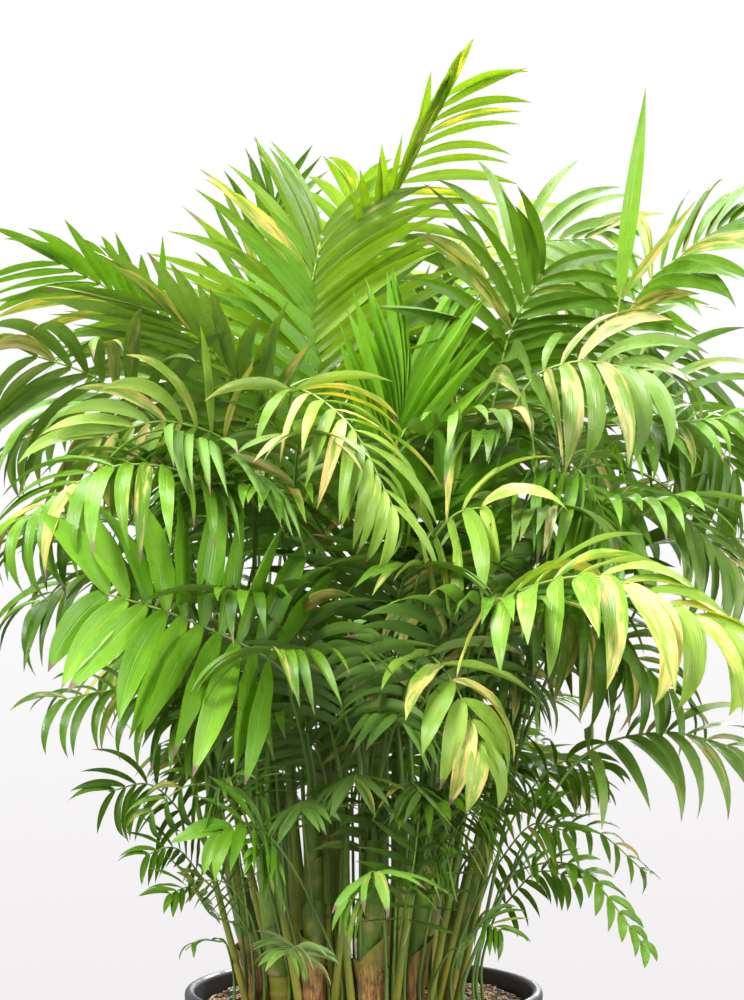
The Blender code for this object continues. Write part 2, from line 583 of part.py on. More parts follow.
# Every stalk is placed first, each clear of the pot, the canes and the stalks before it.
stalks = {}
soil_feet = []
for frond in FRONDS:
    name, foot, start, middle, end, look, pairs, leaf_length = frond[:8]
    base, setting_off = seat_of(frond)
    scale = 0.55 + 0.45 * min(1.0, leaf_length / 0.085)
    buried = 0.0
    if not isinstance(foot, str):
        soil_feet.append(footed(foot))
        buried = PETIOLE_DEPTH + SOIL_MOUND + STALK_CLEAR_OF_SOIL
    around = tree_of(standing)
    for attempt in range(STALK_TRIES):
        luck = random.Random(name + str(attempt))
        shift = 0.0009 * attempt
        sway = Vector((luck.uniform(-1, 1), luck.uniform(-1, 1), 0)) * shift * 1.5
        lift = Vector((luck.uniform(-1, 1), luck.uniform(-1, 1), luck.uniform(-1, 1))) * shift * 0.6
        blade = [spread(start) + lift, spread(middle) + lift, spread(end) + lift]
        rise = min(0.030, (blade[0] - base).length * 0.25)
        knots = [base]
        if not isinstance(foot, str):
            knots += [base + UP * (buried / 2), base + UP * buried]
        knots.append(knots[-1] + setting_off * rise)
        knots.append(knots[-1].lerp(blade[0], 0.5) + UP * 0.010 + sway)
        route = Route(knots + blade)
        petiole = Route(knots + blade[:1])
        root_half = min(ROOT_HALF_LENGTH, (route.total - petiole.total) / pairs * ROOT_SHARE)
        lengths, starts = stations_of(route, petiole.total, pairs, root_half, buried)
        rings = stalk(route, lengths, Vector(look).normalized(), scale, CLEARANCE)
        probe = [corner + setting_off * PROBE_START for corner in rings[0][4]]
        probe += [corner for ring in rings[1:] for corner in ring[4]]
        if buried:
            probe = probe[4:]
        if not touches((probe, bare_faces(len(probe) // 4)), around):
            break
    else:
        print("stalk still touching:", name)
    rings = stalk(route, lengths, Vector(look).normalized(), scale)
    points = [corner for ring in rings for corner in ring[4]]
    stalks[name] = (rings, starts, points, bare_faces(len(rings)))
    standing.append((points, bare_faces(len(rings))))

cut(soil, cutter(
    "stalk_sockets",
    soil_feet,
    math.hypot(STALK_HALF_WIDTH, STALK_HALF_HEIGHT) * 1.05 + GAP,
    SOIL_TOP - PETIOLE_DEPTH - GAP,
    socket_top,
    8,
))

# Then the leaflets grow, each one tried at slightly different angles until it is clear.
grown = []
missing = 0
for frond in FRONDS:
    name, foot, start, middle, end, look, pairs, leaf_length, leaf_width, sweep_a, sweep_b, droop, tone = frond
    rings, starts, points, faces = stalks[name]
    others = [(p, f) for other, (r, s, p, f) in stalks.items() if other != name]
    around = tree_of(standing[:len(CANES) + 2] + others + grown)
    own_stalk = tree_of([(points, faces)])
    own = []
    points = list(points)
    stalk_count = len(points)
    open_sides = {}
    for pair, first_ring in enumerate(starts):
        share = pair / max(1, pairs - 1)
        for side_sign in (1, -1):
            low, high = rings[first_ring], rings[first_ring + 1]
            corner_a, corner_b = (0, 1) if side_sign > 0 else (3, 2)
            root_ids = [
                first_ring * 4 + corner_a,
                first_ring * 4 + corner_b,
                first_ring * 4 + 4 + corner_b,
                first_ring * 4 + 4 + corner_a,
            ]
            root = sum((points[corner] for corner in root_ids), Vector()) / 4
            way = (low[1] + high[1]).normalized()
            out = (low[2] + high[2]).normalized() * side_sign
            up = (low[3] + high[3]).normalized()
            own_tree = tree_of(own)
            for attempt in range(LEAFLET_TRIES):
                luck = random.Random(name + str(pair * 2 + (side_sign > 0)) + "/" + str(attempt))
                wander = 0.05 + 0.022 * attempt
                sweep = math.radians(sweep_a + (sweep_b - sweep_a) * share)
                sweep += luck.uniform(-1, 1) * wander * 0.5
                lift = 0.26 + luck.uniform(-1, 1) * wander
                bend = math.radians(droop) * (1 + luck.uniform(-1, 1) * 1.6 * wander)
                tilt = 0.42 + luck.uniform(-1, 1) * wander * 0.5
                full = 0.72 + 0.28 * math.sin(math.pi * min(1.0, 0.25 + share * 0.75))
                length = leaf_length * LEAFLET_SCALE * full * (1 - 0.012 * attempt)
                half_width = leaf_width * LEAFLET_SCALE * (0.85 + 0.15 * full) / 2 * (1 - 0.012 * attempt)
                heading = way * math.cos(sweep) + (out * math.cos(lift) + up * math.sin(lift)) * math.sin(sweep)
                heading.normalize()
                across = (way - heading * way.dot(heading)).normalized()
                face_up = across.cross(heading)
                if face_up.dot(up) < 0:
                    face_up = -face_up
                across = across * math.cos(tilt) + face_up * math.sin(tilt)
                fall = DOWN + out * 0.25
                fall = (fall - heading * fall.dot(heading)).normalized()
                args = (root, heading, across, fall)
                fat, fat_tip = leaflet(
                    *args, half_width + CLEARANCE, length + CLEARANCE, bend, BLADE_HALF_THICKNESS + CLEARANCE
                )
                normal = across.cross(heading)
                if normal.dot(up) < 0:
                    fat = turned_over(fat)
                mouth = [points[corner].lerp(root, -0.12) for corner in root_ids]
                probe = (mouth + fat + [fat_tip], leaflet_faces((0, 1, 2, 3), 4))
                if touches(probe, around):
                    continue
                outer = [near.lerp(far, OWN_PROBE_START) for near, far in zip(mouth, fat)]
                outer_probe = (outer + fat + [fat_tip], probe[1])
                if not touches(outer_probe, own_stalk) and not touches(probe, own_tree):
                    break
            else:
                missing += 1
                continue
            corners, tip = leaflet(*args, half_width, length, bend, BLADE_HALF_THICKNESS)
            if normal.dot(up) < 0:
                corners = turned_over(corners)
            first = len(points)
            points += corners + [tip]
            made = leaflet_faces(root_ids, first)
            open_sides[(first_ring, side_sign)] = True
            own.append(([Vector(p) for p in points], made))
            faces = faces + made
    # The stalk's face behind each leaflet is opened, so that frond and leaflets are one closed skin.
    kept = []
    for face in faces:
        corners = set(face)
        behind = False
        for first_ring, side_sign in open_sides:
            pair_of = (0, 1) if side_sign > 0 else (3, 2)
            wall = {first_ring * 4 + pair_of[0], first_ring * 4 + pair_of[1]}
            wall |= {corner + 4 for corner in wall}
            behind = behind or corners == wall
        if not behind:
            kept.append(face)
    solid("frond_" + name, points, kept, LEAF_TONES[tone])
    grown.append((points, kept))
print("leaflets left out:", missing)
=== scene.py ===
import json
import math
import random
from collections import namedtuple

import bmesh
import bpy
from mathutils import Matrix, Vector

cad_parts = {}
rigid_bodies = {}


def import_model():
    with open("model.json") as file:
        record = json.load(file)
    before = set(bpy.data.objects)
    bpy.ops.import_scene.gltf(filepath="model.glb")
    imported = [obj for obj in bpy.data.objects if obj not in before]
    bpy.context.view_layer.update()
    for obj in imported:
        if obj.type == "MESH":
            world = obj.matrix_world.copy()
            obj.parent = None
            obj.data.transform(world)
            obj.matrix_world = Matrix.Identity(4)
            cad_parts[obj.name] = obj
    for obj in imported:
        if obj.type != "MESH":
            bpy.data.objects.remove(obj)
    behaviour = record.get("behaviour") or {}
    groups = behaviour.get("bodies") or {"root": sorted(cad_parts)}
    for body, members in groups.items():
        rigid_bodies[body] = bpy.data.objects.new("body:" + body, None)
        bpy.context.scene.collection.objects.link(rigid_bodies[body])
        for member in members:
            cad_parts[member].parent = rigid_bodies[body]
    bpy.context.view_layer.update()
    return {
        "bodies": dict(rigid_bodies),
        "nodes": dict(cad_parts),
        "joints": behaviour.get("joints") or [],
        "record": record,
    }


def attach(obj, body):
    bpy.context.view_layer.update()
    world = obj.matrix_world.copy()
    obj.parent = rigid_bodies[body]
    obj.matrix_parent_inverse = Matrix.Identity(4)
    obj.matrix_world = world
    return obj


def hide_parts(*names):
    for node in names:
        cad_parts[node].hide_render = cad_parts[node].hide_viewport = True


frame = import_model()

# ---- pot -----------------------------------------------------------------------------------
# A blow-moulded nursery pot of dark charcoal plastic, turned about Z: a tapered wall, a thick
# rolled rim band with a soft top edge, and a flat floor with drain holes. The plastic is satin and
# dusted with dried compost, and the top of the lip is painted paler as a painted highlight.
POT_HEIGHT = 0.235
RIM_RADIUS = 0.130
RIM_THICKNESS = 0.0075
BAND_HEIGHT = 0.019
LIP_ROUND = 0.004
LIP_STEPS = 8
BASE_RADIUS = 0.094
FOOT_RING = 0.010
FOOT_LIFT = 0.0018
WALL = 0.0025
WALL_STEPS = 6
FLOOR_THICKNESS = 0.003
DRAIN_HOLES = 6
DRAIN_RADIUS = 0.005
DRAIN_RING = 0.068
DRAIN_SIDES = 32
POT_STEPS = 144
CREASE = math.radians(50)


def pot_wall_radius(height):
    """Outside radius of the tapered wall at a height."""
    top = RIM_RADIUS - RIM_THICKNESS + WALL
    return BASE_RADIUS + (top - BASE_RADIUS) * height / (POT_HEIGHT - BAND_HEIGHT)


def finished(name, mesh, slot, *nodes):
    """Puts a finished mesh in the scene as a piece that rides with the pot and stands for CAD nodes."""
    piece = bpy.data.objects.new(name, mesh)
    bpy.context.scene.collection.objects.link(piece)
    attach(piece, "root")
    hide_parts(*nodes)


def turned(name, profile, steps):
    """A mesh turned about Z from (radius, height) pairs that start and end on the axis."""
    shell = bmesh.new()
    rows = []
    for radius, height in profile:
        if radius == 0:
            rows.append([shell.verts.new((0, 0, height))])
            continue
        row = []
        for step in range(steps):
            turn = 2 * math.pi * step / steps
            row.append(shell.verts.new((radius * math.cos(turn), radius * math.sin(turn), height)))
        rows.append(row)
    for low, high in zip(rows, rows[1:]):
        for step in range(steps):
            after = (step + 1) % steps
            ring = [low[step % len(low)], low[after % len(low)],
                    high[after % len(high)], high[step % len(high)]]
            corners = []
            for corner in ring:
                if corner not in corners:
                    corners.append(corner)
            shell.faces.new(corners)
    bmesh.ops.recalc_face_normals(shell, faces=shell.faces)
    mesh = bpy.data.meshes.new(name)
    shell.to_mesh(mesh)
    shell.free()
    mesh.polygons.foreach_set("use_smooth", [True] * len(mesh.polygons))
    mesh.set_sharp_from_angle(angle=CREASE)
    return mesh


def set_node(tree, kind, inputs=None, **settings):
    """Adds a node, sets its options, and feeds each named input from a socket or with a value."""
    node = tree.nodes.new(kind)
    for key, value in settings.items():
        setattr(node, key, value)
    for key, value in (inputs or {}).items():
        if isinstance(value, bpy.types.NodeSocket):
            tree.links.new(value, node.inputs[key])
        elif value is not None:
            node.inputs[key].default_value = value
    return node


def sums(tree, operation, *values, clamp=False):
    """A Math node's output."""
    made = set_node(tree, "ShaderNodeMath", dict(enumerate(values)), operation=operation, use_clamp=clamp)
    return made.outputs[0]


def plus(tree, first, *others):
    """Values added up."""
    for other in others:
        first = sums(tree, "ADD", first, other)
    return first


def times(tree, first, *others):
    """Values multiplied together."""
    for other in others:
        first = sums(tree, "MULTIPLY", first, other)
    return first


def less(tree, first, second):
    """The second value taken from the first."""
    return sums(tree, "SUBTRACT", first, second)


def parts_of(tree, vector):
    """A vector's X, Y and Z."""
    return set_node(tree, "ShaderNodeSeparateXYZ", {0: vector}).outputs


def between(tree, value, low, high, out_low=0.0, out_high=1.0):
    """Value moved smoothly from one range to another, held at its ends."""
    made = set_node(tree, "ShaderNodeMapRange", {0: value, 1: low, 2: high, 3: out_low, 4: out_high},
                    interpolation_type="SMOOTHSTEP")
    return made.outputs[0]


def blended(tree, share, first, second, kind="MIX"):
    """A colour mixed from two by share. Each is a socket, or red, green and blue."""
    pair = [value if isinstance(value, bpy.types.NodeSocket) else (*value, 1) for value in (first, second)]
    made = set_node(tree, "ShaderNodeMix", {0: share, 6: pair[0], 7: pair[1]},
                    data_type="RGBA", blend_type=kind)
    return made.outputs[2]


def laid_over(tree, colour, tint, mask, low, high, most=1.0):
    """A colour with a tint laid over it where a mask runs from low to high, at most so strongly."""
    return blended(tree, between(tree, mask, low, high, 0.0, most), colour, tint)


def noise(tree, place, scale, detail=3.0, roughness=0.55):
    """A Noise texture's value over a place."""
    made = set_node(tree, "ShaderNodeTexNoise",
                    {"Vector": place, "Scale": scale, "Detail": detail, "Roughness": roughness})
    return made.outputs[0]


def object_place(tree):
    """The place on the piece, in metres."""
    return set_node(tree, "ShaderNodeTexCoord").outputs["Object"]


def new_group(name, kind, inputs, outputs):
    """A node group with named ways in and out. Returns it, its start and its end."""
    group = bpy.data.node_groups.new(name, kind)
    for way, sockets in (("INPUT", inputs), ("OUTPUT", outputs)):
        for key, socket in sockets.items():
            group.interface.new_socket(name=key, in_out=way, socket_type="NodeSocket" + socket)
    return group, group.nodes.new("NodeGroupInput"), group.nodes.new("NodeGroupOutput")


# Grain drawn out one way: scuffs on the plastic, fibres in the mix, streaks on stems and sheaths.
drawn_grain, start, end = new_group("drawn_grain", "ShaderNodeTree",
                                    {"Stretch": "Vector", "Detail": "Float", "Roughness": "Float"},
                                    {"Grain": "Float"})
drawn = set_node(drawn_grain, "ShaderNodeMapping",
                 {"Vector": object_place(drawn_grain), "Scale": start.outputs["Stretch"]})
grain = noise(drawn_grain, drawn.outputs[0], 1.0, start.outputs["Detail"], start.outputs["Roughness"])
drawn_grain.links.new(grain, end.inputs["Grain"])


def drawn_out(tree, stretch, detail, roughness):
    """The drawn-out grain as one material has it."""
    return set_node(tree, "ShaderNodeGroup", {"Stretch": stretch, "Detail": detail, "Roughness": roughness},
                    node_tree=drawn_grain).outputs["Grain"]


def new_material(name):
    """A material with one Principled shader. Returns it, its tree and its shader."""
    made = bpy.data.materials.new(name)
    made.use_nodes = True
    return made, made.node_tree, made.node_tree.nodes["Principled BSDF"]


def feed(tree, shader, colour, roughness, height=None, bump=0.0, distance=0.0):
    """Joins a colour, a roughness and, where there is one, a bump height to a Principled shader."""
    tree.links.new(colour, shader.inputs["Base Color"])
    tree.links.new(roughness, shader.inputs["Roughness"])
    if height is not None:
        raised = set_node(tree, "ShaderNodeBump", {"Strength": bump, "Distance": distance, "Height": height})
        tree.links.new(raised.outputs[0], shader.inputs["Normal"])


pot_plastic, tree, shader = new_material("pot_plastic")
place = object_place(tree)
# This noise breaks up both the real dust and the painted highlight on the lip.
dust_and_highlight_noise = noise(tree, place, 38.0, 6.0, 0.6)
speckle = noise(tree, place, 900.0, 2.0)
scuffs = drawn_out(tree, (30.0, 30.0, 220.0), 4.0, 0.7)
# Painted highlight: the top few millimetres of the lip are painted a paler grey in patches, standing in for
# the light the lip catches.
lip_painted_highlight = between(tree, parts_of(tree, place)["Z"], POT_HEIGHT - LIP_ROUND, POT_HEIGHT, 0.0, 0.55)
lip_painted_highlight = times(tree, lip_painted_highlight, between(tree, dust_and_highlight_noise, 0.35, 0.62))
dust = between(tree, plus(tree, dust_and_highlight_noise, times(tree, speckle, 0.25)), 0.58, 0.80, 0.0, 0.35)
colour = laid_over(tree, (0.042, 0.042, 0.048), (0.070, 0.070, 0.078), scuffs, 0.55, 0.75, 0.5)
colour = blended(tree, lip_painted_highlight, colour, (0.110, 0.110, 0.118))
colour = blended(tree, dust, colour, (0.110, 0.090, 0.075))
rough = plus(tree, between(tree, dust_and_highlight_noise, 0.3, 0.7, 0.36, 0.52), times(tree, dust, 0.5))
feed(tree, shader, colour, rough, plus(tree, times(tree, speckle, 0.4), scuffs), 0.12, 0.0006)

# The profile goes from the recess under the floor, over the foot ring, up the wall, out to the band,
# round the lip and down the inside.
band_foot = POT_HEIGHT - BAND_HEIGHT
pot_profile = [(0, FOOT_LIFT), (BASE_RADIUS - FOOT_RING, FOOT_LIFT), (BASE_RADIUS - FOOT_RING + 0.0015, 0),
               (BASE_RADIUS - 0.002, 0), (BASE_RADIUS - 0.0006, 0.0008)]
for step in range(WALL_STEPS + 1):
    height = 0.003 + (band_foot - 0.0035) * step / WALL_STEPS
    pot_profile.append((pot_wall_radius(height), height))
pot_profile += [(RIM_RADIUS - 0.0022, band_foot + 0.0004), (RIM_RADIUS - 0.0006, band_foot + 0.0014)]
for step in range(LIP_STEPS + 1):
    turn = math.pi * step / LIP_STEPS
    pot_profile.append((RIM_RADIUS - RIM_THICKNESS / 2 + RIM_THICKNESS / 2 * math.cos(turn),
                        POT_HEIGHT - LIP_ROUND + LIP_ROUND * math.sin(turn)))
for height in (band_foot, FLOOR_THICKNESS):
    pot_profile.append((pot_wall_radius(height) - WALL, height))
pot_profile.append((0, FLOOR_THICKNESS))

# The drain holes are round and go right through the floor.
pegs = bmesh.new()
for hole in range(DRAIN_HOLES):
    turn = 2 * math.pi * (hole + 0.5) / DRAIN_HOLES
    middle = Vector((DRAIN_RING * math.cos(turn), DRAIN_RING * math.sin(turn), 0))
    bmesh.ops.create_cone(pegs, cap_ends=True, segments=DRAIN_SIDES, radius1=DRAIN_RADIUS,
                          radius2=DRAIN_RADIUS, depth=8 * FLOOR_THICKNESS, matrix=Matrix.Translation(middle))
peg_mesh = bpy.data.meshes.new("drain_pegs")
pegs.to_mesh(peg_mesh)
pegs.free()
blank = bpy.data.objects.new("pot_blank", turned("nursery_pot", pot_profile, POT_STEPS))
drill = bpy.data.objects.new("drain_pegs", peg_mesh)
for helper in (blank, drill):
    bpy.context.scene.collection.objects.link(helper)
drilled = blank.modifiers.new("drilled", "BOOLEAN")
drilled.operation = "DIFFERENCE"
drilled.solver = "EXACT"
drilled.object = drill
bpy.context.view_layer.update()
pot_mesh = bpy.data.meshes.new_from_object(blank.evaluated_get(bpy.context.evaluated_depsgraph_get()))
pot_mesh.name = "nursery_pot"
for helper in (blank, drill):
    bpy.data.objects.remove(helper, do_unlink=True)
pot_mesh.set_sharp_from_angle(angle=CREASE)
pot_mesh.materials.append(pot_plastic)
finished("nursery_pot", pot_mesh, "pot_plastic", "pot")

# ---- soil ----------------------------------------------------------------------------------
# Moist peat-based potting mix, dark brown and crumbly, about 18 mm below the lip and a little
# higher between the canes. Bark chips, white perlite and a few slow-release feed granules are
# scattered over it.
SOIL_TOP = POT_HEIGHT - 0.018
SOIL_SKIN = SOIL_TOP - 0.001
SOIL_MOUND = 0.010
MOUND_POWER = 12
SOIL_RADIUS = pot_wall_radius(SOIL_TOP) - WALL - 0.0009
SOIL_GAP = 0.0003
BED_RINGS = 40
BED_STEPS = 120
LUMP_RISE = 0.009
CRUMB_RISE = 0.006
CHIPS = 1100
PERLITE = 420
GRANULES = 40

potting_mix, tree, shader = new_material("potting_mix")
place = object_place(tree)
crumbs = noise(tree, place, 260.0, 6.0, 0.65)
patches = noise(tree, place, 40.0, 3.0)
fibres = drawn_out(tree, (420.0, 900.0, 700.0), 3.0, 0.7)
colour = laid_over(tree, (0.012, 0.007, 0.005), (0.060, 0.032, 0.020), crumbs, 0.35, 0.7)
colour = laid_over(tree, colour, (0.030, 0.014, 0.009), patches, 0.45, 0.7, 0.6)
colour = laid_over(tree, colour, (0.170, 0.095, 0.050), fibres, 0.66, 0.76, 0.7)
feed(tree, shader, colour, between(tree, crumbs, 0.3, 0.7, 0.80, 0.98), crumbs, 0.8, 0.002)
shader.inputs["Specular IOR Level"].default_value = 0.12


def speck_material(name, first, second, scale, rough):
    """Bark, perlite or feed granules: two tones broken up by noise, with a rough skin."""
    made, tree, shader = new_material(name)
    place = object_place(tree)
    grain = noise(tree, place, scale, 4.0, 0.6)
    blotch = noise(tree, place, scale / 8, 2.0)
    mixed = plus(tree, times(tree, grain, 0.5), times(tree, blotch, 0.5))
    colour = laid_over(tree, first, second, mixed, 0.35, 0.65)
    feed(tree, shader, colour, between(tree, grain, 0.3, 0.7, rough - 0.1, rough), grain, 0.5, 0.0006)
    return made


bark_chip = speck_material("bark_chip", (0.130, 0.060, 0.026), (0.620, 0.420, 0.220), 700.0, 0.95)
perlite_grain = speck_material("perlite_grain", (0.620, 0.590, 0.540), (0.860, 0.840, 0.800), 900.0, 0.95)
feed_granule = speck_material("feed_granule", (0.020, 0.170, 0.140), (0.060, 0.330, 0.270), 500.0, 0.45)


def new_tree(name, **sockets):
    """A Geometry Nodes tree with a Geometry way in and out and the named inputs. Returns tree, start, end."""
    named = {key.replace("_", " "): kind for key, kind in sockets.items()}
    return new_group(name, "GeometryNodeTree", {"Geometry": "Geometry", **named}, {"Geometry": "Geometry"})


def grown_mesh(name, source, tree, **values):
    """Runs a Geometry Nodes tree on a source mesh and returns the plain mesh that comes out."""
    carrier = bpy.data.objects.new(name + "_source", source)
    bpy.context.scene.collection.objects.link(carrier)
    modifier = carrier.modifiers.new(name, "NODES")
    modifier.node_group = tree
    for item in tree.interface.items_tree:
        key = item.name.replace(" ", "_")
        if item.in_out == "INPUT" and key in values:
            modifier[item.identifier] = values[key]
    bpy.context.view_layer.update()
    graph = bpy.context.evaluated_depsgraph_get()
    mesh = bpy.data.meshes.new_from_object(carrier.evaluated_get(graph))
    mesh.name = name
    carrier.modifiers.clear()
    bpy.data.objects.remove(carrier, do_unlink=True)
    return mesh


# The bed itself: a turned plug whose top is pushed up and down by two sizes of noise.
bed_floor = FLOOR_THICKNESS + SOIL_GAP
soil_profile = [(0, bed_floor), (pot_wall_radius(FLOOR_THICKNESS) - WALL - 0.0013, bed_floor),
                (SOIL_RADIUS, SOIL_TOP - 0.0015)]
for step in range(BED_RINGS):
    share = 1 - (step + 0.3) / BED_RINGS
    soil_profile.append((SOIL_RADIUS * share, SOIL_TOP + SOIL_MOUND * (1 - share ** MOUND_POWER)))
soil_profile.append((0, SOIL_TOP + SOIL_MOUND))

tree, start, end = new_tree("crumble", Top="Float", Lumps="Float", Crumbs="Float")
spot = set_node(tree, "GeometryNodeInputPosition").outputs[0]
lumps = noise(tree, spot, 45.0, 2.0)
crumbs = noise(tree, spot, 210.0, 3.0, 0.7)
rise = plus(tree, times(tree, less(tree, lumps, 0.5), start.outputs["Lumps"]),
            times(tree, less(tree, crumbs, 0.5), start.outputs["Crumbs"]))
offset = set_node(tree, "ShaderNodeCombineXYZ", {"Z": rise}).outputs[0]
on_top = sums(tree, "GREATER_THAN", parts_of(tree, spot)["Z"], start.outputs["Top"])
moved = set_node(tree, "GeometryNodeSetPosition",
                 {"Geometry": start.outputs[0], "Selection": on_top, "Offset": offset})
tree.links.new(moved.outputs[0], end.inputs[0])
soil_bed = grown_mesh("soil_bed", turned("soil_bed", soil_profile, BED_STEPS), tree,
                      Top=SOIL_SKIN, Lumps=LUMP_RISE, Crumbs=CRUMB_RISE)
soil_bed.materials.append(potting_mix)
finished("soil_bed", soil_bed, "potting_soil", "soil")

# What lies on it: each kind is one low lump, scattered, turned and sized at random over the top.
tree, start, end = new_tree("strewn", Count="Int", Size="Float", Stretch="Vector",
                            Top="Float", Seed="Int", Skin="Material")
height = parts_of(tree, set_node(tree, "GeometryNodeInputPosition").outputs[0])["Z"]
facing = parts_of(tree, set_node(tree, "GeometryNodeInputNormal").outputs[0])["Z"]
on_top = times(tree, sums(tree, "GREATER_THAN", height, start.outputs["Top"]),
               sums(tree, "GREATER_THAN", facing, 0.3))
strewn = set_node(tree, "GeometryNodeDistributePointsOnFaces",
                  {"Mesh": start.outputs[0], "Selection": on_top, "Seed": start.outputs["Seed"],
                   "Density": sums(tree, "DIVIDE", start.outputs["Count"], math.pi * SOIL_RADIUS ** 2)})
ball = set_node(tree, "GeometryNodeMeshIcoSphere", {"Radius": 0.5, "Subdivisions": 2})
wobble = set_node(tree, "ShaderNodeVectorMath", {
    0: set_node(tree, "ShaderNodeTexNoise", {"Scale": 2.3, "Detail": 1.0}).outputs["Color"],
    1: (0.5, 0.5, 0.5)}, operation="SUBTRACT").outputs[0]
lump = set_node(tree, "GeometryNodeSetPosition", {"Geometry": ball.outputs[0], "Offset": wobble})
turn = set_node(tree, "FunctionNodeRandomValue", {0: (-0.4, -0.4, 0.0), 1: (0.4, 0.4, 6.28)},
                data_type="FLOAT_VECTOR").outputs[0]
size = set_node(tree, "FunctionNodeRandomValue", {2: 0.45, 3: 1.25}, data_type="FLOAT").outputs[1]
size = set_node(tree, "ShaderNodeVectorMath", {
    0: start.outputs["Stretch"], 3: times(tree, size, start.outputs["Size"])}, operation="SCALE").outputs[0]
set_out = set_node(tree, "GeometryNodeInstanceOnPoints", {
    "Points": strewn.outputs[0], "Instance": lump.outputs[0], "Rotation": turn, "Scale": size})
real = set_node(tree, "GeometryNodeRealizeInstances", {0: set_out.outputs[0]})
skinned = set_node(tree, "GeometryNodeSetMaterial",
                   {"Geometry": real.outputs[0], "Material": start.outputs["Skin"]})
tree.links.new(skinned.outputs[0], end.inputs[0])
# name, how many, size, stretch, seed, material
for name, count, size, stretch, seed, skin in (
    ("bark_chips", CHIPS, 0.0058, (1.0, 0.55, 0.35), 3, bark_chip),
    ("perlite", PERLITE, 0.0024, (1.0, 0.9, 0.8), 5, perlite_grain),
    ("feed_granules", GRANULES, 0.0026, (1.0, 1.0, 1.0), 8, feed_granule),
):
    specks = grown_mesh(name, soil_bed.copy(), tree, Count=count, Size=size, Stretch=stretch,
                        Top=SOIL_SKIN, Seed=seed, Skin=skin)
    finished(name, specks, "potting_soil", "soil")

# ---- canes ---------------------------------------------------------------------------------
# Slender green stems like thin bamboo. Low down they are ringed with the scars of old leaves and
# yellow-green; higher up the bases of the stalks still wrap them in streaky green sheaths.
CANE_DEPTH = 0.020
CANE_RADIUS = 0.0076
CANE_TOP = 0.66
CANE_STEPS = 96
BURIED_STEPS = 6
CANE_SIDES = 20
LEAN_POWER = 1.25
FIRST_RING = 0.012
RING_PITCH = 0.021
SCAR_SPREAD = 0.0011
GREEN_SHEATHS = 3
SHEATH_COLUMNS = 18
SHEATH_SKIN = 0.0004
SHEATH_GAP = 0.0008
STEM_CREASE = math.radians(60)
# name, foot (x, y) in the soil, top (x, y, z), thickness over CANE_RADIUS, rings
CANES = [
    ("cane_left_outer", (-0.074, -0.028), (-0.100, -0.034, 0.350), 0.95, 2),
    ("cane_left_ringed", (-0.056, -0.064), (-0.070, -0.080, 0.340), 1.10, 3),
    ("cane_left_front", (-0.033, -0.078), (-0.036, -0.092, 0.375), 0.90, 3),
    ("cane_middle_tall", (-0.020, -0.040), (-0.026, -0.036, 0.430), 1.15, 4),
    ("cane_front_papery", (0.004, -0.082), (0.006, -0.098, 0.355), 1.05, 1),
    ("cane_right_front", (0.034, -0.066), (0.046, -0.076, 0.390), 0.90, 2),
    ("cane_right_outer", (0.060, -0.036), (0.092, -0.036, 0.370), 0.90, 2),
    ("cane_core", (0.008, 0.002), (0.012, 0.010, 0.460), 1.05, 4),
    ("cane_back_left", (-0.046, 0.046), (-0.070, 0.070, 0.390), 1.00, 3),
    ("cane_back_right", (0.046, 0.042), (0.072, 0.068, 0.400), 1.00, 3),
]


def attribute(tree, name, wanted="Fac"):
    """A value or a vector kept on the piece's own points."""
    return set_node(tree, "ShaderNodeAttribute", attribute_name=name).outputs[wanted]


cane_skin, tree, shader = new_material("cane_skin")
place = object_place(tree)
along = attribute(tree, "along")
ring = attribute(tree, "ring")
streaks = drawn_out(tree, (520.0, 520.0, 26.0), 4.0, 0.65)
blotches = noise(tree, place, 55.0, 4.0, 0.6)
young = blended(tree, streaks, (0.032, 0.100, 0.004), (0.210, 0.340, 0.028))
old = blended(tree, blotches, (0.200, 0.220, 0.018), (0.420, 0.370, 0.040))
colour = laid_over(tree, old, young, along, 0.22, 0.60)
colour = laid_over(tree, colour, (0.210, 0.135, 0.060), blotches, 0.60, 0.74, 0.55)
colour = blended(tree, times(tree, ring, 0.75), colour, (0.330, 0.250, 0.120))
bloom = between(tree, noise(tree, place, 120.0, 3.0), 0.55, 0.80, 0.0, 0.06)
colour = blended(tree, bloom, colour, (0.400, 0.450, 0.330))
feed(tree, shader, colour, between(tree, streaks, 0.2, 0.8, 0.34, 0.60), streaks, 0.35, 0.0008)

dry_sheath, tree, shader = new_material("dry_sheath")
place = object_place(tree)
fibres = drawn_out(tree, (900.0, 900.0, 45.0), 5.0, 0.7)
stains = noise(tree, place, 70.0, 3.0)
colour = laid_over(tree, (0.140, 0.050, 0.014), (0.660, 0.350, 0.115), fibres, 0.32, 0.68)
colour = laid_over(tree, colour, (0.085, 0.036, 0.018), stains, 0.5, 0.7, 0.7)
# The sheaths are brown at the foot and still greenish higher up.
rise = plus(tree, set_node(tree, "ShaderNodeSeparateXYZ", {0: place}).outputs["Z"],
            times(tree, fibres, 0.040))
still_green = blended(tree, fibres, (0.060, 0.100, 0.008), (0.380, 0.370, 0.050))
colour = laid_over(tree, colour, still_green, rise, 0.262, 0.308)
feed(tree, shader, colour, between(tree, fibres, 0.2, 0.8, 0.60, 0.85), fibres, 0.6, 0.0008)


def own(tree, name, kind="FLOAT"):
    """A value kept under a name on a geometry's points."""
    return set_node(tree, "GeometryNodeInputNamedAttribute", {"Name": name}, data_type=kind).outputs[0]


def skinned_over(tree, geometry, skin):
    """A geometry with smooth shading and a material."""
    smooth = set_node(tree, "GeometryNodeSetShadeSmooth", {"Geometry": geometry}).outputs[0]
    return set_node(tree, "GeometryNodeSetMaterial", {"Geometry": smooth, "Material": skin}).outputs[0]


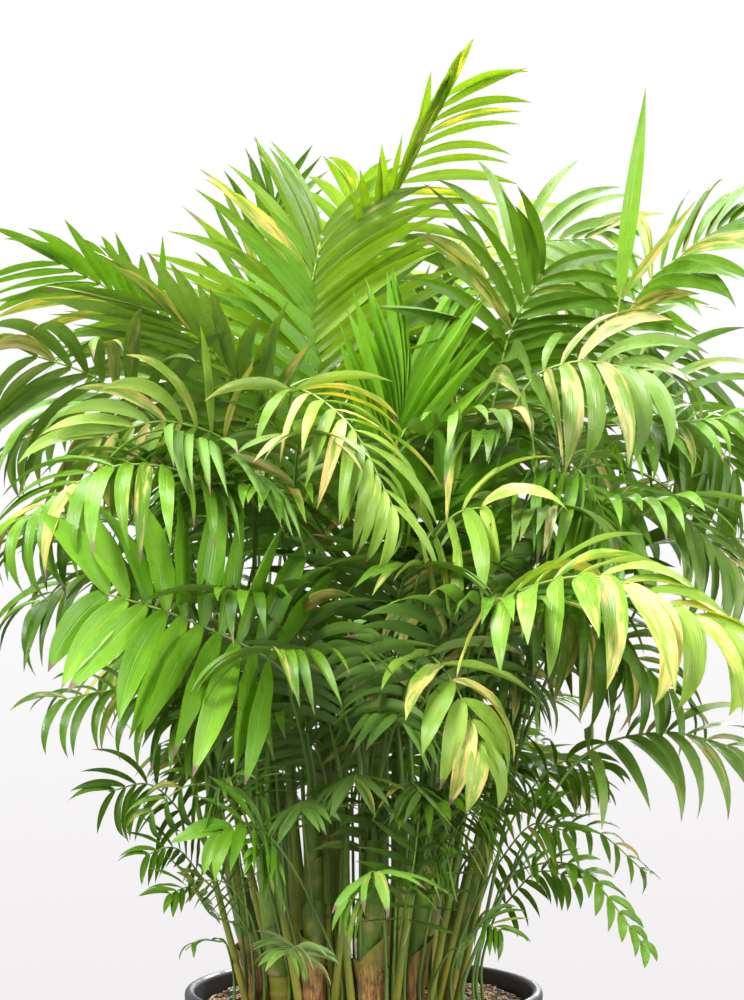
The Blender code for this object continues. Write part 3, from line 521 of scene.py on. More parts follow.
def swept(tree, row, sides, skin):
    """A round stem along a row of points: each point's girth is the stem's radius there."""
    line = set_node(tree, "GeometryNodeMeshToCurve", {"Mesh": row}).outputs[0]
    section = set_node(tree, "GeometryNodeCurvePrimitiveCircle", {"Resolution": sides, "Radius": 1.0})
    stem = set_node(tree, "GeometryNodeCurveToMesh", {
        "Curve": line, "Profile Curve": section.outputs[0], "Scale": own(tree, "girth"), "Fill Caps": True})
    return skinned_over(tree, stem.outputs[0], skin)


round_stem, start, end = new_tree("round_stem", Sides="Int", Skin="Material")
stem = swept(round_stem, start.outputs[0], start.outputs["Sides"], start.outputs["Skin"])
round_stem.links.new(stem, end.inputs[0])


def line_of(name, points, loose=(), **values):
    """A mesh of points joined in a row, then loose ones, with named values on each."""
    mesh = bpy.data.meshes.new(name)
    mesh.from_pydata([tuple(p) for p in (*points, *loose)], [(i, i + 1) for i in range(len(points) - 1)], [])
    for key, row in values.items():
        mesh.attributes.new(key, "FLOAT", "POINT").data.foreach_set("value", row)
    return mesh


green_sheath, tree, shader = new_material("green_sheath")
place = object_place(tree)
fibres = drawn_out(tree, (700.0, 700.0, 22.0), 5.0, 0.65)
patches = noise(tree, place, 45.0, 3.0)
colour = blended(tree, fibres, (0.026, 0.080, 0.004), (0.200, 0.310, 0.026))
colour = laid_over(tree, colour, (0.400, 0.290, 0.080), patches, 0.50, 0.68, 0.75)
feed(tree, shader, colour, between(tree, fibres, 0.2, 0.8, 0.36, 0.55), fibres, 0.4, 0.0006)


def wrapped(mesh, path, radii, opening, seed, flare):
    """Adds a split sheath to a bmesh: a strip bent round a stem, open on one side, as a closed thin shell."""
    luck = random.Random(seed)
    columns, rows = SHEATH_COLUMNS, len(path)
    first_turn = luck.uniform(0, 2 * math.pi)
    reach = [0.70 + 0.30 * math.sin(math.pi * column / (columns - 1)) * (0.8 + 0.2 * luck.random())
             for column in range(columns)]
    layers = []
    for layer in (0, 1):
        grid = []
        for row in range(rows):
            line = []
            for column in range(columns):
                share = reach[column] * row / (rows - 1)
                index = min(rows - 2, int(share * (rows - 1)))
                mix = share * (rows - 1) - index
                axis = (path[index + 1] - path[index]).normalized()
                side = axis.orthogonal().normalized()
                across = axis.cross(side)
                turn = first_turn + (2 * math.pi - opening * (0.6 + 0.8 * share)) * column / (columns - 1)
                far = radii[index] + layer * SHEATH_SKIN
                far += flare * share ** 3 * (1 + 0.3 * math.sin(2 * turn + seed))
                spot = path[index].lerp(path[index + 1], mix)
                line.append(mesh.verts.new(spot + (side * math.cos(turn) + across * math.sin(turn)) * far))
            grid.append(line)
        layers.append(grid)
    inner, outer = layers
    for row in range(rows - 1):
        for column in range(columns - 1):
            for grid in (inner, outer):
                mesh.faces.new((grid[row][column], grid[row][column + 1],
                                grid[row + 1][column + 1], grid[row + 1][column]))
    border = [(0, c) for c in range(columns)] + [(r, columns - 1) for r in range(1, rows)]
    border += [(rows - 1, c) for c in range(columns - 2, -1, -1)] + [(r, 0) for r in range(rows - 2, 0, -1)]
    for (r, c), (q, d) in zip(border, border[1:] + border[:1]):
        mesh.faces.new((inner[r][c], inner[q][d], outer[q][d], outer[r][c]))


# How many dry sheaths a cane keeps low down. Green ones follow them on every cane.
PAPERY = {"cane_front_papery": 3, "cane_left_outer": 2, "cane_left_front": 2, "cane_core": 1,
          "cane_right_front": 1}
cane_tops = {}
for number, (name, foot, top, thickness, rings) in enumerate(CANES):
    luck = random.Random(name)
    low = Vector((*foot, SOIL_TOP + SOIL_MOUND + 0.003))
    high = Vector(top)
    points, radii, marks, shares = [], [], [], []
    ring_heights = [low.z + FIRST_RING + RING_PITCH * step * (1 + 0.16 * step) for step in range(rings)]
    for step in range(-BURIED_STEPS, CANE_STEPS + 1):
        share = max(0.0, step / CANE_STEPS)
        spot = low.lerp(high, share ** LEAN_POWER)
        spot.z = low.z + (high.z - low.z) * share
        if step < 0:
            spot.z -= CANE_DEPTH * -step / BURIED_STEPS
        mark = max([math.exp(-((spot.z - height) / SCAR_SPREAD) ** 2) for height in ring_heights] or [0])
        swell = 0.10 * math.sin(math.pi * min(1.0, share * 1.4))
        radius = CANE_RADIUS * thickness * (1 + (CANE_TOP - 1) * share + swell)
        radius *= 1 + 0.07 * mark + 0.03 * luck.uniform(-1, 1) * (step % 4 == 0)
        points.append(spot)
        radii.append(radius)
        marks.append(mark)
        shares.append(share)
    cane_tops[name] = (points[-1], (points[-1] - points[-17]).normalized())
    stem = grown_mesh(name, line_of(name, points, girth=radii, ring=marks, along=shares), round_stem,
                      Sides=CANE_SIDES, Skin=cane_skin)
    shell = bmesh.new()
    shell.from_mesh(stem)
    bmesh.ops.recalc_face_normals(shell, faces=shell.faces)
    stem.materials.append(dry_sheath)
    stem.materials.append(green_sheath)
    dry_count = PAPERY.get(name, 0)
    for layer in range(dry_count + GREEN_SHEATHS):
        made = len(shell.faces)
        dry = layer < dry_count
        if dry:
            first = 3 + 3 * layer
        elif layer == dry_count:
            first = 12 + 6 * rings
        else:
            first += luck.randint(16, 24)
        last = min(len(points) - 2, first + (luck.randint(30, 46) if dry else luck.randint(26, 38)))
        lift = SHEATH_GAP * (1 + (layer if dry else 0))
        wrapped(shell, points[first:last:2], [girth + lift for girth in radii[first:last:2]],
                0.9 + 1.6 * luck.random(), number * 7 + layer, 0.0040 if dry else 0.0020)
        shell.faces.ensure_lookup_table()
        bmesh.ops.recalc_face_normals(shell, faces=shell.faces[made:])
        for face in shell.faces[made:]:
            face.material_index = 1 if dry else 2
            face.smooth = True
    shell.to_mesh(stem)
    shell.free()
    stem.set_sharp_from_angle(angle=STEM_CREASE)
    finished(name.replace("cane", "stem"), stem, "cane_skin", name)

# Younger stems stand between the canes: thin, smooth and mostly hidden higher up.
YOUNG_STEPS = 72
YOUNG_SIDES = 14
YOUNG_BOW = 0.022
YOUNG_INSET = (0.86, 0.94)
YOUNG_SCAR_SPREAD = 0.0010
YOUNG_TAPER = 0.58
# foot (x, y), top (x, y, z), radius, the cane it grew beside
YOUNG_STEMS = [
    (-0.088, -0.052, -0.128, -0.066, 0.470, 0.0030, "cane_left_outer"),
    (-0.066, -0.040, -0.088, -0.050, 0.520, 0.0042, "cane_left_outer"),
    (-0.046, -0.080, -0.062, -0.104, 0.455, 0.0038, "cane_left_ringed"),
    (-0.040, -0.054, -0.052, -0.060, 0.540, 0.0046, "cane_left_ringed"),
    (-0.024, -0.086, -0.024, -0.112, 0.440, 0.0036, "cane_left_front"),
    (-0.018, -0.066, -0.012, -0.078, 0.520, 0.0044, "cane_left_front"),
    (-0.008, -0.092, -0.002, -0.118, 0.400, 0.0034, "cane_front_papery"),
    (0.004, -0.058, 0.010, -0.062, 0.560, 0.0046, "cane_middle_tall"),
    (0.028, -0.078, 0.018, -0.094, 0.470, 0.0040, "cane_front_papery"),
    (0.022, -0.090, 0.032, -0.120, 0.420, 0.0034, "cane_front_papery"),
    (0.026, -0.040, 0.036, -0.044, 0.560, 0.0044, "cane_core"),
    (0.040, -0.050, 0.066, -0.062, 0.500, 0.0042, "cane_right_front"),
    (0.046, -0.076, 0.078, -0.104, 0.450, 0.0032, "cane_right_front"),
    (0.052, -0.056, 0.104, -0.078, 0.490, 0.0034, "cane_right_front"),
    (0.066, -0.050, 0.132, -0.066, 0.470, 0.0030, "cane_right_outer"),
    (0.062, -0.018, 0.098, -0.020, 0.540, 0.0040, "cane_right_outer"),
    (0.044, 0.008, 0.062, 0.012, 0.560, 0.0044, "cane_core"),
    (-0.052, 0.004, -0.080, 0.010, 0.540, 0.0044, "cane_middle_tall"),
    (-0.018, 0.052, -0.024, 0.080, 0.540, 0.0044, "cane_back_left"),
    (0.018, 0.060, 0.026, 0.092, 0.540, 0.0042, "cane_back_right"),
    (-0.068, 0.022, -0.110, 0.040, 0.500, 0.0040, "cane_back_left"),
    (0.070, 0.016, 0.118, 0.030, 0.500, 0.0040, "cane_back_right"),
]
for number, (x, y, top_x, top_y, top_z, girth, beside) in enumerate(YOUNG_STEMS):
    luck = random.Random(number * 31 + 4)
    low = Vector((x * YOUNG_INSET[0], y * YOUNG_INSET[1], SOIL_TOP - CANE_DEPTH))
    high = Vector((top_x, top_y, top_z))
    bow = Vector((luck.uniform(-1, 1), luck.uniform(-1, 1), 0)) * YOUNG_BOW
    points, radii, marks, shares = [], [], [], []
    scars = [SOIL_TOP + 0.014 + 0.03 * luck.random() for _ in range(2)]
    for step in range(YOUNG_STEPS + 1):
        share = step / YOUNG_STEPS
        spot = low.lerp(high, share) + bow * math.sin(math.pi * share) * share
        mark = max(math.exp(-((spot.z - height) / YOUNG_SCAR_SPREAD) ** 2) for height in scars)
        points.append(spot)
        radii.append(girth * (0.98 - YOUNG_TAPER * share) * (1 + 0.06 * mark))
        marks.append(mark * 0.7)
        shares.append(0.10 + 0.9 * share)
    stem = grown_mesh("young_stem", line_of("young_stem", points, girth=radii, ring=marks, along=shares),
                      round_stem, Sides=YOUNG_SIDES, Skin=cane_skin)
    finished(f"young_stem_{number + 1:02d}", stem, "cane_skin", beside)

# ---- fronds --------------------------------------------------------------------------------
# Each frond is a feather: one thin green stalk with pairs of long, pointed, lightly pleated leaflets.
# The young ones glow yellow-green against the light, the old ones are dark, and some have yellow
# patches or brown, papery tips.
PETIOLE_DEPTH = 0.012
SEAT_RING = 0.0040
STALK_RADIUS = 0.0016
STALK_TIP = 0.42
STALK_FLARE = 0.9
LEAFLET_THICKNESS = 0.0005
STEPS_ALONG = 12
STEPS_ACROSS = 5
STALK_SIDES = 8
STALK_STEPS = 60
UP = Vector((0, 0, 1))
DOWN = Vector((0, 0, -1))
# name, foot (a cane's name, or x and y in the soil), blade's start, middle and end, the way its upper
# face looks, pairs of leaflets, leaflet length, leaflet width, sweep at start and end, droop, tone
Frond = namedtuple("Frond", "name foot start middle end look pairs leaf_length leaf_width "
                            "sweep_start sweep_end droop tone")
FRONDS = [Frond(*row) for row in (
    ("top_spire", "cane_core", (0.002, 0.02, 0.755), (0.034, 0.03, 0.835), (0.062, 0.02, 0.890),
     (0.75, -0.65, 0.2), 13, 0.098, 0.01, 62, 26, 32, "backlit"),
    ("backlit_fan", "cane_middle_tall", (-0.034, -0.05, 0.655), (-0.040, -0.03, 0.720), (-0.030, 0.00, 0.785),
     (0.1, -1.0, 0.2), 12, 0.128, 0.015, 60, 24, 24, "backlit"),
    ("thin_spire", "cane_back_left", (-0.085, 0.09, 0.710), (-0.078, 0.10, 0.765), (-0.068, 0.10, 0.820),
     (0.0, -1.0, 0.2), 8, 0.075, 0.0085, 42, 18, 10, "mature"),
    ("pale_crown", "cane_core", (-0.015, 0.07, 0.735), (-0.010, 0.08, 0.785), (-0.004, 0.07, 0.825),
     (0.0, -1.0, 0.3), 6, 0.062, 0.011, 60, 15, 55, "pale"),
    ("far_back_right", "cane_back_right", (0.060, 0.17, 0.740), (0.100, 0.21, 0.800), (0.140, 0.24, 0.830),
     (-0.3, -0.5, 0.8), 9, 0.055, 0.0075, 65, 35, 50, "pale"),
    ("grey_sweep", "cane_left_front", (-0.068, -0.08, 0.630), (-0.098, -0.10, 0.685), (-0.138, -0.12, 0.722),
     (-0.6, -0.6, 0.6), 9, 0.120, 0.0145, 46, 18, 24, "grey"),
    ("far_left_arch", "cane_left_outer", (-0.120, 0.02, 0.670), (-0.172, 0.00, 0.732), (-0.222, -0.02, 0.762),
     (-0.4, -0.5, 0.8), 11, 0.098, 0.011, 50, 20, 40, "fresh"),
    ("left_arch", "cane_left_outer", (-0.130, -0.06, 0.620), (-0.180, -0.09, 0.670), (-0.230, -0.11, 0.690),
     (-0.3, -0.4, 0.9), 9, 0.110, 0.013, 62, 30, 72, "grey"),
    ("left_front_droop", "cane_left_ringed", (-0.100, -0.14, 0.590), (-0.160, -0.18, 0.612),
     (-0.225, -0.20, 0.575), (-0.1, -0.4, 1.0), 10, 0.090, 0.014, 68, 30, 85, "fresh"),
    ("centre_cascade", "cane_middle_tall", (-0.050, -0.12, 0.660), (-0.010, -0.17, 0.640),
     (0.022, -0.20, 0.580), (0.3, -0.5, 0.8), 10, 0.078, 0.011, 62, 28, 70, "pale"),
    ("front_left_bright", "cane_left_front", (-0.058, -0.17, 0.480), (-0.118, -0.20, 0.512),
     (-0.172, -0.22, 0.530), (0.0, -0.9, 0.5), 10, 0.100, 0.02, 86, 50, 26, "fresh"),
    ("front_right_pale", "cane_right_front", (0.085, -0.20, 0.520), (0.150, -0.25, 0.540),
     (0.230, -0.27, 0.505), (0.1, -0.5, 0.9), 11, 0.095, 0.017, 68, 28, 72, "pale"),
    ("small_arch", "cane_front_papery", (0.040, -0.14, 0.545), (0.060, -0.16, 0.578), (0.085, -0.18, 0.585),
     (0.0, -0.4, 1.0), 4, 0.085, 0.017, 70, 35, 95, "pale"),
    ("low_centre_hang", "cane_front_papery", (0.040, -0.17, 0.485), (0.060, -0.20, 0.468),
     (0.078, -0.22, 0.425), (0.2, -0.6, 0.8), 6, 0.068, 0.016, 66, 25, 60, "pale"),
    ("low_right_hang", (0.072, -0.080), (0.150, -0.11, 0.412), (0.205, -0.12, 0.430), (0.255, -0.13, 0.420),
     (0.1, -0.4, 1.0), 6, 0.085, 0.012, 70, 32, 72, "grey"),
    ("right_feather", "cane_right_outer", (0.190, -0.01, 0.720), (0.230, -0.02, 0.766), (0.268, -0.02, 0.790),
     (-0.4, -0.4, 0.8), 9, 0.092, 0.012, 58, 24, 50, "mature"),
    ("lance", "cane_right_outer", (0.164, -0.08, 0.650), (0.174, -0.08, 0.700), (0.180, -0.08, 0.735),
     (0.0, -1.0, 0.1), 1, 0.158, 0.019, 10, 10, 6, "fresh"),
    ("right_folded", "cane_right_front", (0.105, -0.12, 0.655), (0.140, -0.14, 0.682), (0.190, -0.15, 0.675),
     (0.0, -0.3, 1.0), 6, 0.095, 0.018, 72, 35, 100, "grey"),
    ("right_cascade", "cane_right_outer", (0.170, -0.03, 0.645), (0.222, -0.05, 0.662), (0.265, -0.06, 0.605),
     (0.2, -0.3, 0.9), 10, 0.105, 0.013, 66, 28, 72, "mature"),
    ("centre_upright", "cane_middle_tall", (0.014, -0.05, 0.580), (0.022, -0.06, 0.625),
     (0.030, -0.06, 0.668), (0.0, -1.0, 0.1), 9, 0.108, 0.011, 26, 8, 12, "fresh"),
    ("star_fan", "cane_right_front", (0.045, -0.09, 0.545), (0.052, -0.10, 0.572), (0.060, -0.10, 0.592),
     (0.0, -1.0, 0.3), 5, 0.078, 0.012, 75, 15, 15, "fresh"),
    ("right_arch_high", "cane_core", (0.080, 0.03, 0.730), (0.115, 0.03, 0.775), (0.168, 0.03, 0.782),
     (0.1, -0.5, 0.9), 10, 0.088, 0.012, 66, 30, 58, "grey"),
    ("right_arch_tall", "cane_right_front", (0.092, -0.04, 0.655), (0.105, -0.05, 0.710),
     (0.128, -0.06, 0.752), (0.1, -0.8, 0.6), 10, 0.105, 0.012, 62, 28, 56, "mature"),
    ("right_arch_mid", "cane_back_right", (0.130, 0.02, 0.690), (0.190, 0.02, 0.712), (0.245, 0.02, 0.672),
     (0.1, -0.4, 0.9), 9, 0.104, 0.013, 64, 28, 66, "mature"),
    ("right_grey_droop", "cane_right_outer", (0.145, -0.07, 0.560), (0.200, -0.09, 0.588),
     (0.255, -0.10, 0.545), (0.1, -0.4, 0.9), 10, 0.090, 0.0145, 66, 30, 74, "grey"),
    ("right_dark_low", (0.082, -0.030), (0.125, -0.08, 0.475), (0.170, -0.10, 0.490), (0.215, -0.11, 0.455),
     (0.1, -0.3, 1.0), 9, 0.076, 0.011, 66, 30, 74, "mature"),
    ("right_back_droop", "cane_back_right", (0.150, 0.12, 0.600), (0.222, 0.15, 0.632), (0.280, 0.17, 0.600),
     (0.2, 0.1, 1.0), 9, 0.095, 0.012, 66, 30, 64, "mature"),
    ("right_wisp", "cane_right_front", (0.165, -0.12, 0.622), (0.205, -0.13, 0.640), (0.248, -0.14, 0.645),
     (0.0, -0.4, 1.0), 6, 0.055, 0.0075, 70, 35, 80, "fresh"),
    ("left_low_droop", "cane_left_outer", (-0.120, -0.03, 0.510), (-0.180, -0.05, 0.540),
     (-0.232, -0.07, 0.515), (-0.1, -0.4, 1.0), 9, 0.085, 0.0105, 66, 30, 76, "mature"),
    ("left_wisp", (-0.084, -0.046), (-0.110, -0.07, 0.425), (-0.162, -0.08, 0.455), (-0.212, -0.09, 0.450),
     (-0.1, -0.4, 1.0), 8, 0.062, 0.0085, 68, 35, 80, "mature"),
    ("left_back_droop", "cane_back_left", (-0.150, 0.12, 0.640), (-0.215, 0.15, 0.662), (-0.272, 0.17, 0.635),
     (-0.2, 0.1, 1.0), 9, 0.095, 0.012, 66, 30, 64, "mature"),
    ("left_tan", "cane_left_ringed", (-0.080, -0.10, 0.610), (-0.128, -0.13, 0.642), (-0.182, -0.15, 0.630),
     (-0.1, -0.4, 1.0), 9, 0.085, 0.012, 66, 30, 62, "pale"),
    ("inner_left", "cane_middle_tall", (-0.058, 0.02, 0.545), (-0.076, 0.02, 0.610), (-0.102, 0.01, 0.665),
     (-0.2, -1.0, 0.3), 10, 0.112, 0.0145, 58, 26, 34, "mature"),
    ("inner_right", "cane_core", (0.050, 0.05, 0.580), (0.066, 0.05, 0.645), (0.080, 0.04, 0.702),
     (0.2, -1.0, 0.3), 10, 0.112, 0.0145, 58, 26, 34, "mature"),
    ("back_high_left", "cane_back_left", (-0.050, 0.14, 0.660), (-0.080, 0.19, 0.705), (-0.120, 0.24, 0.700),
     (-0.2, 0.4, 0.9), 9, 0.095, 0.012, 64, 30, 58, "fresh"),
    ("back_high_right", "cane_back_right", (0.030, 0.14, 0.690), (0.045, 0.20, 0.728), (0.060, 0.26, 0.712),
     (0.2, 0.4, 0.9), 9, 0.100, 0.013, 64, 30, 58, "mature"),
    ("back_low_left", "cane_back_left", (-0.090, 0.15, 0.505), (-0.140, 0.21, 0.535), (-0.180, 0.26, 0.505),
     (-0.1, 0.3, 1.0), 9, 0.085, 0.011, 66, 30, 70, "mature"),
    ("back_low_right", "cane_back_right", (0.095, 0.15, 0.520), (0.140, 0.21, 0.550), (0.180, 0.26, 0.520),
     (0.1, 0.3, 1.0), 9, 0.085, 0.011, 66, 30, 70, "fresh"),
    ("back_centre", "cane_back_left", (-0.010, 0.15, 0.580), (-0.012, 0.21, 0.610), (-0.014, 0.27, 0.580),
     (0.0, 0.3, 1.0), 9, 0.098, 0.013, 66, 30, 66, "mature"),
    ("curled_left", (-0.078, -0.052), (-0.094, -0.08, 0.380), (-0.120, -0.10, 0.392), (-0.150, -0.11, 0.372),
     (-0.1, -0.4, 1.0), 5, 0.042, 0.006, 66, 40, 100, "mature"),
    ("fine_left", (-0.070, -0.070), (-0.084, -0.10, 0.312), (-0.096, -0.12, 0.328), (-0.118, -0.13, 0.330),
     (-0.1, -0.9, 0.5), 6, 0.026, 0.004, 66, 40, 25, "mature"),
    ("seedling", (-0.092, -0.050), (-0.100, -0.10, 0.284), (-0.112, -0.12, 0.288), (-0.121, -0.13, 0.283),
     (-0.1, -0.4, 1.0), 2, 0.024, 0.005, 60, 40, 80, "mature"),
    ("bright_tuft", (-0.016, -0.092), (-0.060, -0.14, 0.358), (-0.078, -0.16, 0.372), (-0.100, -0.17, 0.366),
     (0.0, -0.5, 0.9), 5, 0.038, 0.008, 62, 30, 50, "fresh"),
    ("brown_tip_fan", (0.016, -0.100), (0.012, -0.128, 0.330), (0.009, -0.137, 0.337), (0.004, -0.147, 0.338),
     (0.0, -0.7, 0.7), 5, 0.040, 0.0062, 125, 12, 80, "fresh"),
    ("low_right_short", (0.078, -0.062), (0.104, -0.09, 0.330), (0.148, -0.11, 0.336), (0.194, -0.12, 0.282),
     (0.2, -0.5, 0.8), 8, 0.026, 0.009, 60, 35, 45, "fresh"),
    ("right_sprig", (0.086, -0.014), (0.120, -0.05, 0.352), (0.160, -0.07, 0.358), (0.198, -0.08, 0.328),
     (0.1, -0.5, 0.9), 6, 0.028, 0.0055, 64, 35, 60, "mature"),
    ("dark_ladder", (0.022, -0.050), (0.026, -0.120, 0.300), (0.034, -0.135, 0.340), (0.038, -0.140, 0.376),
     (0.2, -1.0, 0.2), 6, 0.048, 0.0075, 80, 40, 15, "mature"),
    ("inner_low", "cane_front_papery", (-0.010, -0.06, 0.482), (-0.001, -0.08, 0.537), (0.013, -0.10, 0.582),
     (0.1, -1.0, 0.5), 9, 0.100, 0.013, 58, 25, 40, "mature"),
)]


def smooth_path(knots, per_span=16):
    """Points on an even curve through the knots (Catmull-Rom, with the end knots mirrored)."""
    ends = [2 * knots[0] - knots[1]] + knots + [2 * knots[-1] - knots[-2]]
    found = []
    for span in range(len(knots) - 1):
        a, b, c, d = ends[span:span + 4]
        for step in range(per_span):
            t = step / per_span
            found.append(0.5 * (2 * b + (c - a) * t + (2 * a - 5 * b + 4 * c - d) * t ** 2
                                + (3 * b - a - 3 * c + d) * t ** 3))
    found.append(knots[-1])
    return found


class Route:
    """A curve that can be asked for the place at any length along it."""

    def __init__(self, knots):
        self.places = smooth_path(knots)
        self.lengths = [0.0]
        for before, after in zip(self.places, self.places[1:]):
            self.lengths.append(self.lengths[-1] + (after - before).length)
        self.total = self.lengths[-1]

    def at(self, length):
        length = min(max(length, 0.0), self.total)
        for index in range(1, len(self.lengths)):
            if self.lengths[index] >= length:
                step = self.lengths[index] - self.lengths[index - 1]
                share = (length - self.lengths[index - 1]) / step if step else 0.0
                return self.places[index - 1].lerp(self.places[index], share)
        return self.places[-1]

    def along(self, length):
        return (self.at(length + 0.002) - self.at(length - 0.002)).normalized()


def seat_of(frond):
    """Where a stalk starts and the way it sets off: a place on a cane's top, or a hole in the soil."""
    if not isinstance(frond.foot, str):
        return Vector((*frond.foot, SOIL_TOP - PETIOLE_DEPTH)), UP
    top, axis = cane_tops[frond.foot]
    sharing = [row for row in FRONDS if row.foot == frond.foot]
    sharing.sort(key=lambda row: math.atan2(row.start[1] - top.y, row.start[0] - top.x))
    aim = Vector(sharing[0].start) - top
    turn = math.atan2(aim.y, aim.x) + 2 * math.pi * sharing.index(frond) / len(sharing)
    reach = 0 if len(sharing) == 1 else SEAT_RING * (1 if len(sharing) < 5 else 1.12)
    level = Vector((math.cos(turn), math.sin(turn), 0)) * reach
    level -= axis * level.dot(axis)
    return top + level, axis


def carried(route, lengths, look):
    """(centre, way, side, up) at each length: the side is carried along without turning about the stalk."""
    ways = [route.along(length) for length in lengths]
    middle = len(lengths) * 2 // 3
    sides = [None] * len(lengths)
    sides[middle] = ways[middle].cross(look).normalized()
    for index in range(middle + 1, len(lengths)):
        sides[index] = ways[index - 1].rotation_difference(ways[index]) @ sides[index - 1]
    for index in range(middle - 1, -1, -1):
        sides[index] = ways[index + 1].rotation_difference(ways[index]) @ sides[index + 1]
    found = []
    for length, way, side in zip(lengths, ways, sides):
        side = (side - way * side.dot(way)).normalized()
        found.append((route.at(length), way, side, side.cross(way)))
    return found


def vector(tree, operation, first, second=None, scale=None):
    """A Vector Math node's output: a value for dot products and lengths, a vector otherwise."""
    inputs = {0: first, 1: second, 3: scale}
    made = set_node(tree, "ShaderNodeVectorMath", inputs, operation=operation)
    return made.outputs["Value" if operation in ("DOT_PRODUCT", "LENGTH") else "Vector"]


def total(tree, *vectors):
    """The sum of several vectors."""
    whole = vectors[0]
    for part in vectors[1:]:
        whole = vector(tree, "ADD", whole, part)
    return whole


def scaled(tree, way, value):
    """A vector made so many times as long."""
    return vector(tree, "SCALE", way, scale=value)


def stored(tree, geometry, name, value, kind="FLOAT"):
    """Keeps a field on the geometry's points under a name."""
    return set_node(tree, "GeometryNodeStoreNamedAttribute",
                    {"Geometry": geometry, "Name": name, "Value": value}, data_type=kind).outputs[0]


# One leaflet is a strip of two skins, joined along its border, that is bent, folded and twisted by the
# values kept on its root. The outline is a long lance: narrow at the root and drawn out to a point.
feathered_frond, start, end = new_tree("feathered_frond", Leaf_Skin="Material", Stalk_Skin="Material",
                                       Thickness="Float", Steps_Along="Int", Steps_Across="Int",
                                       Stalk_Sides="Int")
tree = feathered_frond
roots = set_node(tree, "GeometryNodeSeparateGeometry",
                 {"Geometry": start.outputs[0], "Selection": own(tree, "is_leaflet", "BOOLEAN")})
skins = set_node(tree, "GeometryNodeJoinGeometry")
for side in (1.0, -1.0):
    strip = set_node(tree, "GeometryNodeMeshGrid", {
        "Size X": 1.0, "Size Y": 2.0, "Vertices X": start.outputs["Steps Along"],
        "Vertices Y": start.outputs["Steps Across"]}).outputs[0]
    spot = parts_of(tree, set_node(tree, "GeometryNodeInputPosition").outputs[0])
    for key, value in (("leaf_u", plus(tree, spot["X"], 0.5)), ("leaf_v", spot["Y"]), ("leaf_side", side)):
        strip = stored(tree, strip, key, value)
    if side < 0:
        strip = set_node(tree, "GeometryNodeFlipFaces", {"Mesh": strip}).outputs[0]
    tree.links.new(strip, skins.inputs[0])
leaflets = set_node(tree, "GeometryNodeInstanceOnPoints",
                    {"Points": roots.outputs[0], "Instance": skins.outputs[0]})
leaflets = set_node(tree, "GeometryNodeRealizeInstances", {"Geometry": leaflets.outputs[0]}).outputs[0]

u, v = own(tree, "leaf_u"), own(tree, "leaf_v")
way, fall, across = (own(tree, key, "FLOAT_VECTOR") for key in ("way", "fall", "across"))
length, half_width, bend = parts_of(tree, own(tree, "size", "FLOAT_VECTOR"))
twist, fold, sickle = parts_of(tree, own(tree, "form", "FLOAT_VECTOR"))
# The midrib follows an arc that starts along way and bends towards fall.
turn = times(tree, bend, u)
sine, cosine = sums(tree, "SINE", turn), sums(tree, "COSINE", turn)
radius = sums(tree, "DIVIDE", length, bend)
spine = total(tree, own(tree, "root", "FLOAT_VECTOR"), scaled(tree, way, times(tree, radius, sine)),
              scaled(tree, fall, times(tree, radius, less(tree, 1.0, cosine))))
heading = total(tree, scaled(tree, way, cosine), scaled(tree, fall, sine))
level = vector(tree, "SUBTRACT", across,
               scaled(tree, heading, vector(tree, "DOT_PRODUCT", across, heading)))
level = vector(tree, "NORMALIZE", level)
face_up = vector(tree, "CROSS_PRODUCT", heading, level)
# The blade turns slowly about its midrib.
roll = times(tree, twist, u)
roll_sine, roll_cosine = sums(tree, "SINE", roll), sums(tree, "COSINE", roll)
side_way = total(tree, scaled(tree, level, roll_cosine), scaled(tree, face_up, roll_sine))
face_way = total(tree, scaled(tree, face_up, roll_cosine), scaled(tree, level, times(tree, roll_sine, -1.0)))
outline = set_node(tree, "ShaderNodeFloatCurve", {"Value": u})
curve = outline.mapping.curves[0]
curve.points[0].location = (0.0, 0.30)
curve.points[1].location = (1.0, 0.015)
for place, width in ((0.06, 0.52), (0.18, 0.82), (0.38, 1.0), (0.60, 0.88), (0.80, 0.54), (0.93, 0.20)):
    curve.points.new(place, width)
outline.mapping.update()
# It is folded up along the midrib, rippled, and thinner towards its border and both ends.
breadth = times(tree, half_width, outline.outputs[0])
raised = times(tree, fold, sums(tree, "ABSOLUTE", v), breadth)
ripple = sums(tree, "SINE", plus(tree, times(tree, u, 17.0), times(tree, own(tree, "luck"), 40.0)))
ripple = times(tree, ripple, v, times(tree, breadth, 0.07))
round_edge = less(tree, 1.0, times(tree, v, v))
round_end = sums(tree, "POWER", times(tree, u, less(tree, 1.0, u), 4.0), 0.4)
half_thickness = times(tree, start.outputs["Thickness"], 0.5)
skin = times(tree, round_edge, round_end, half_thickness, own(tree, "leaf_side"))
sideways = plus(tree, times(tree, v, breadth), times(tree, sickle, length, times(tree, u, u)))
place = total(tree, spine, scaled(tree, side_way, sideways),
              scaled(tree, face_way, plus(tree, raised, ripple, skin)))
leaflets = set_node(tree, "GeometryNodeSetPosition", {"Geometry": leaflets, "Position": place}).outputs[0]
leaflets = set_node(tree, "GeometryNodeMergeByDistance", {"Geometry": leaflets, "Distance": 0.00002})
leaflets = skinned_over(tree, leaflets.outputs[0], start.outputs["Leaf Skin"])
stalk = swept(tree, roots.outputs["Inverted"], start.outputs["Stalk Sides"], start.outputs["Stalk Skin"])
whole = set_node(tree, "GeometryNodeJoinGeometry")
for made in (stalk, leaflets):
    tree.links.new(made, whole.inputs[0])
whole = set_node(tree, "GeometryNodeRealizeInstances", {"Geometry": whole.outputs[0]})
tree.links.new(whole.outputs[0], end.inputs[0])

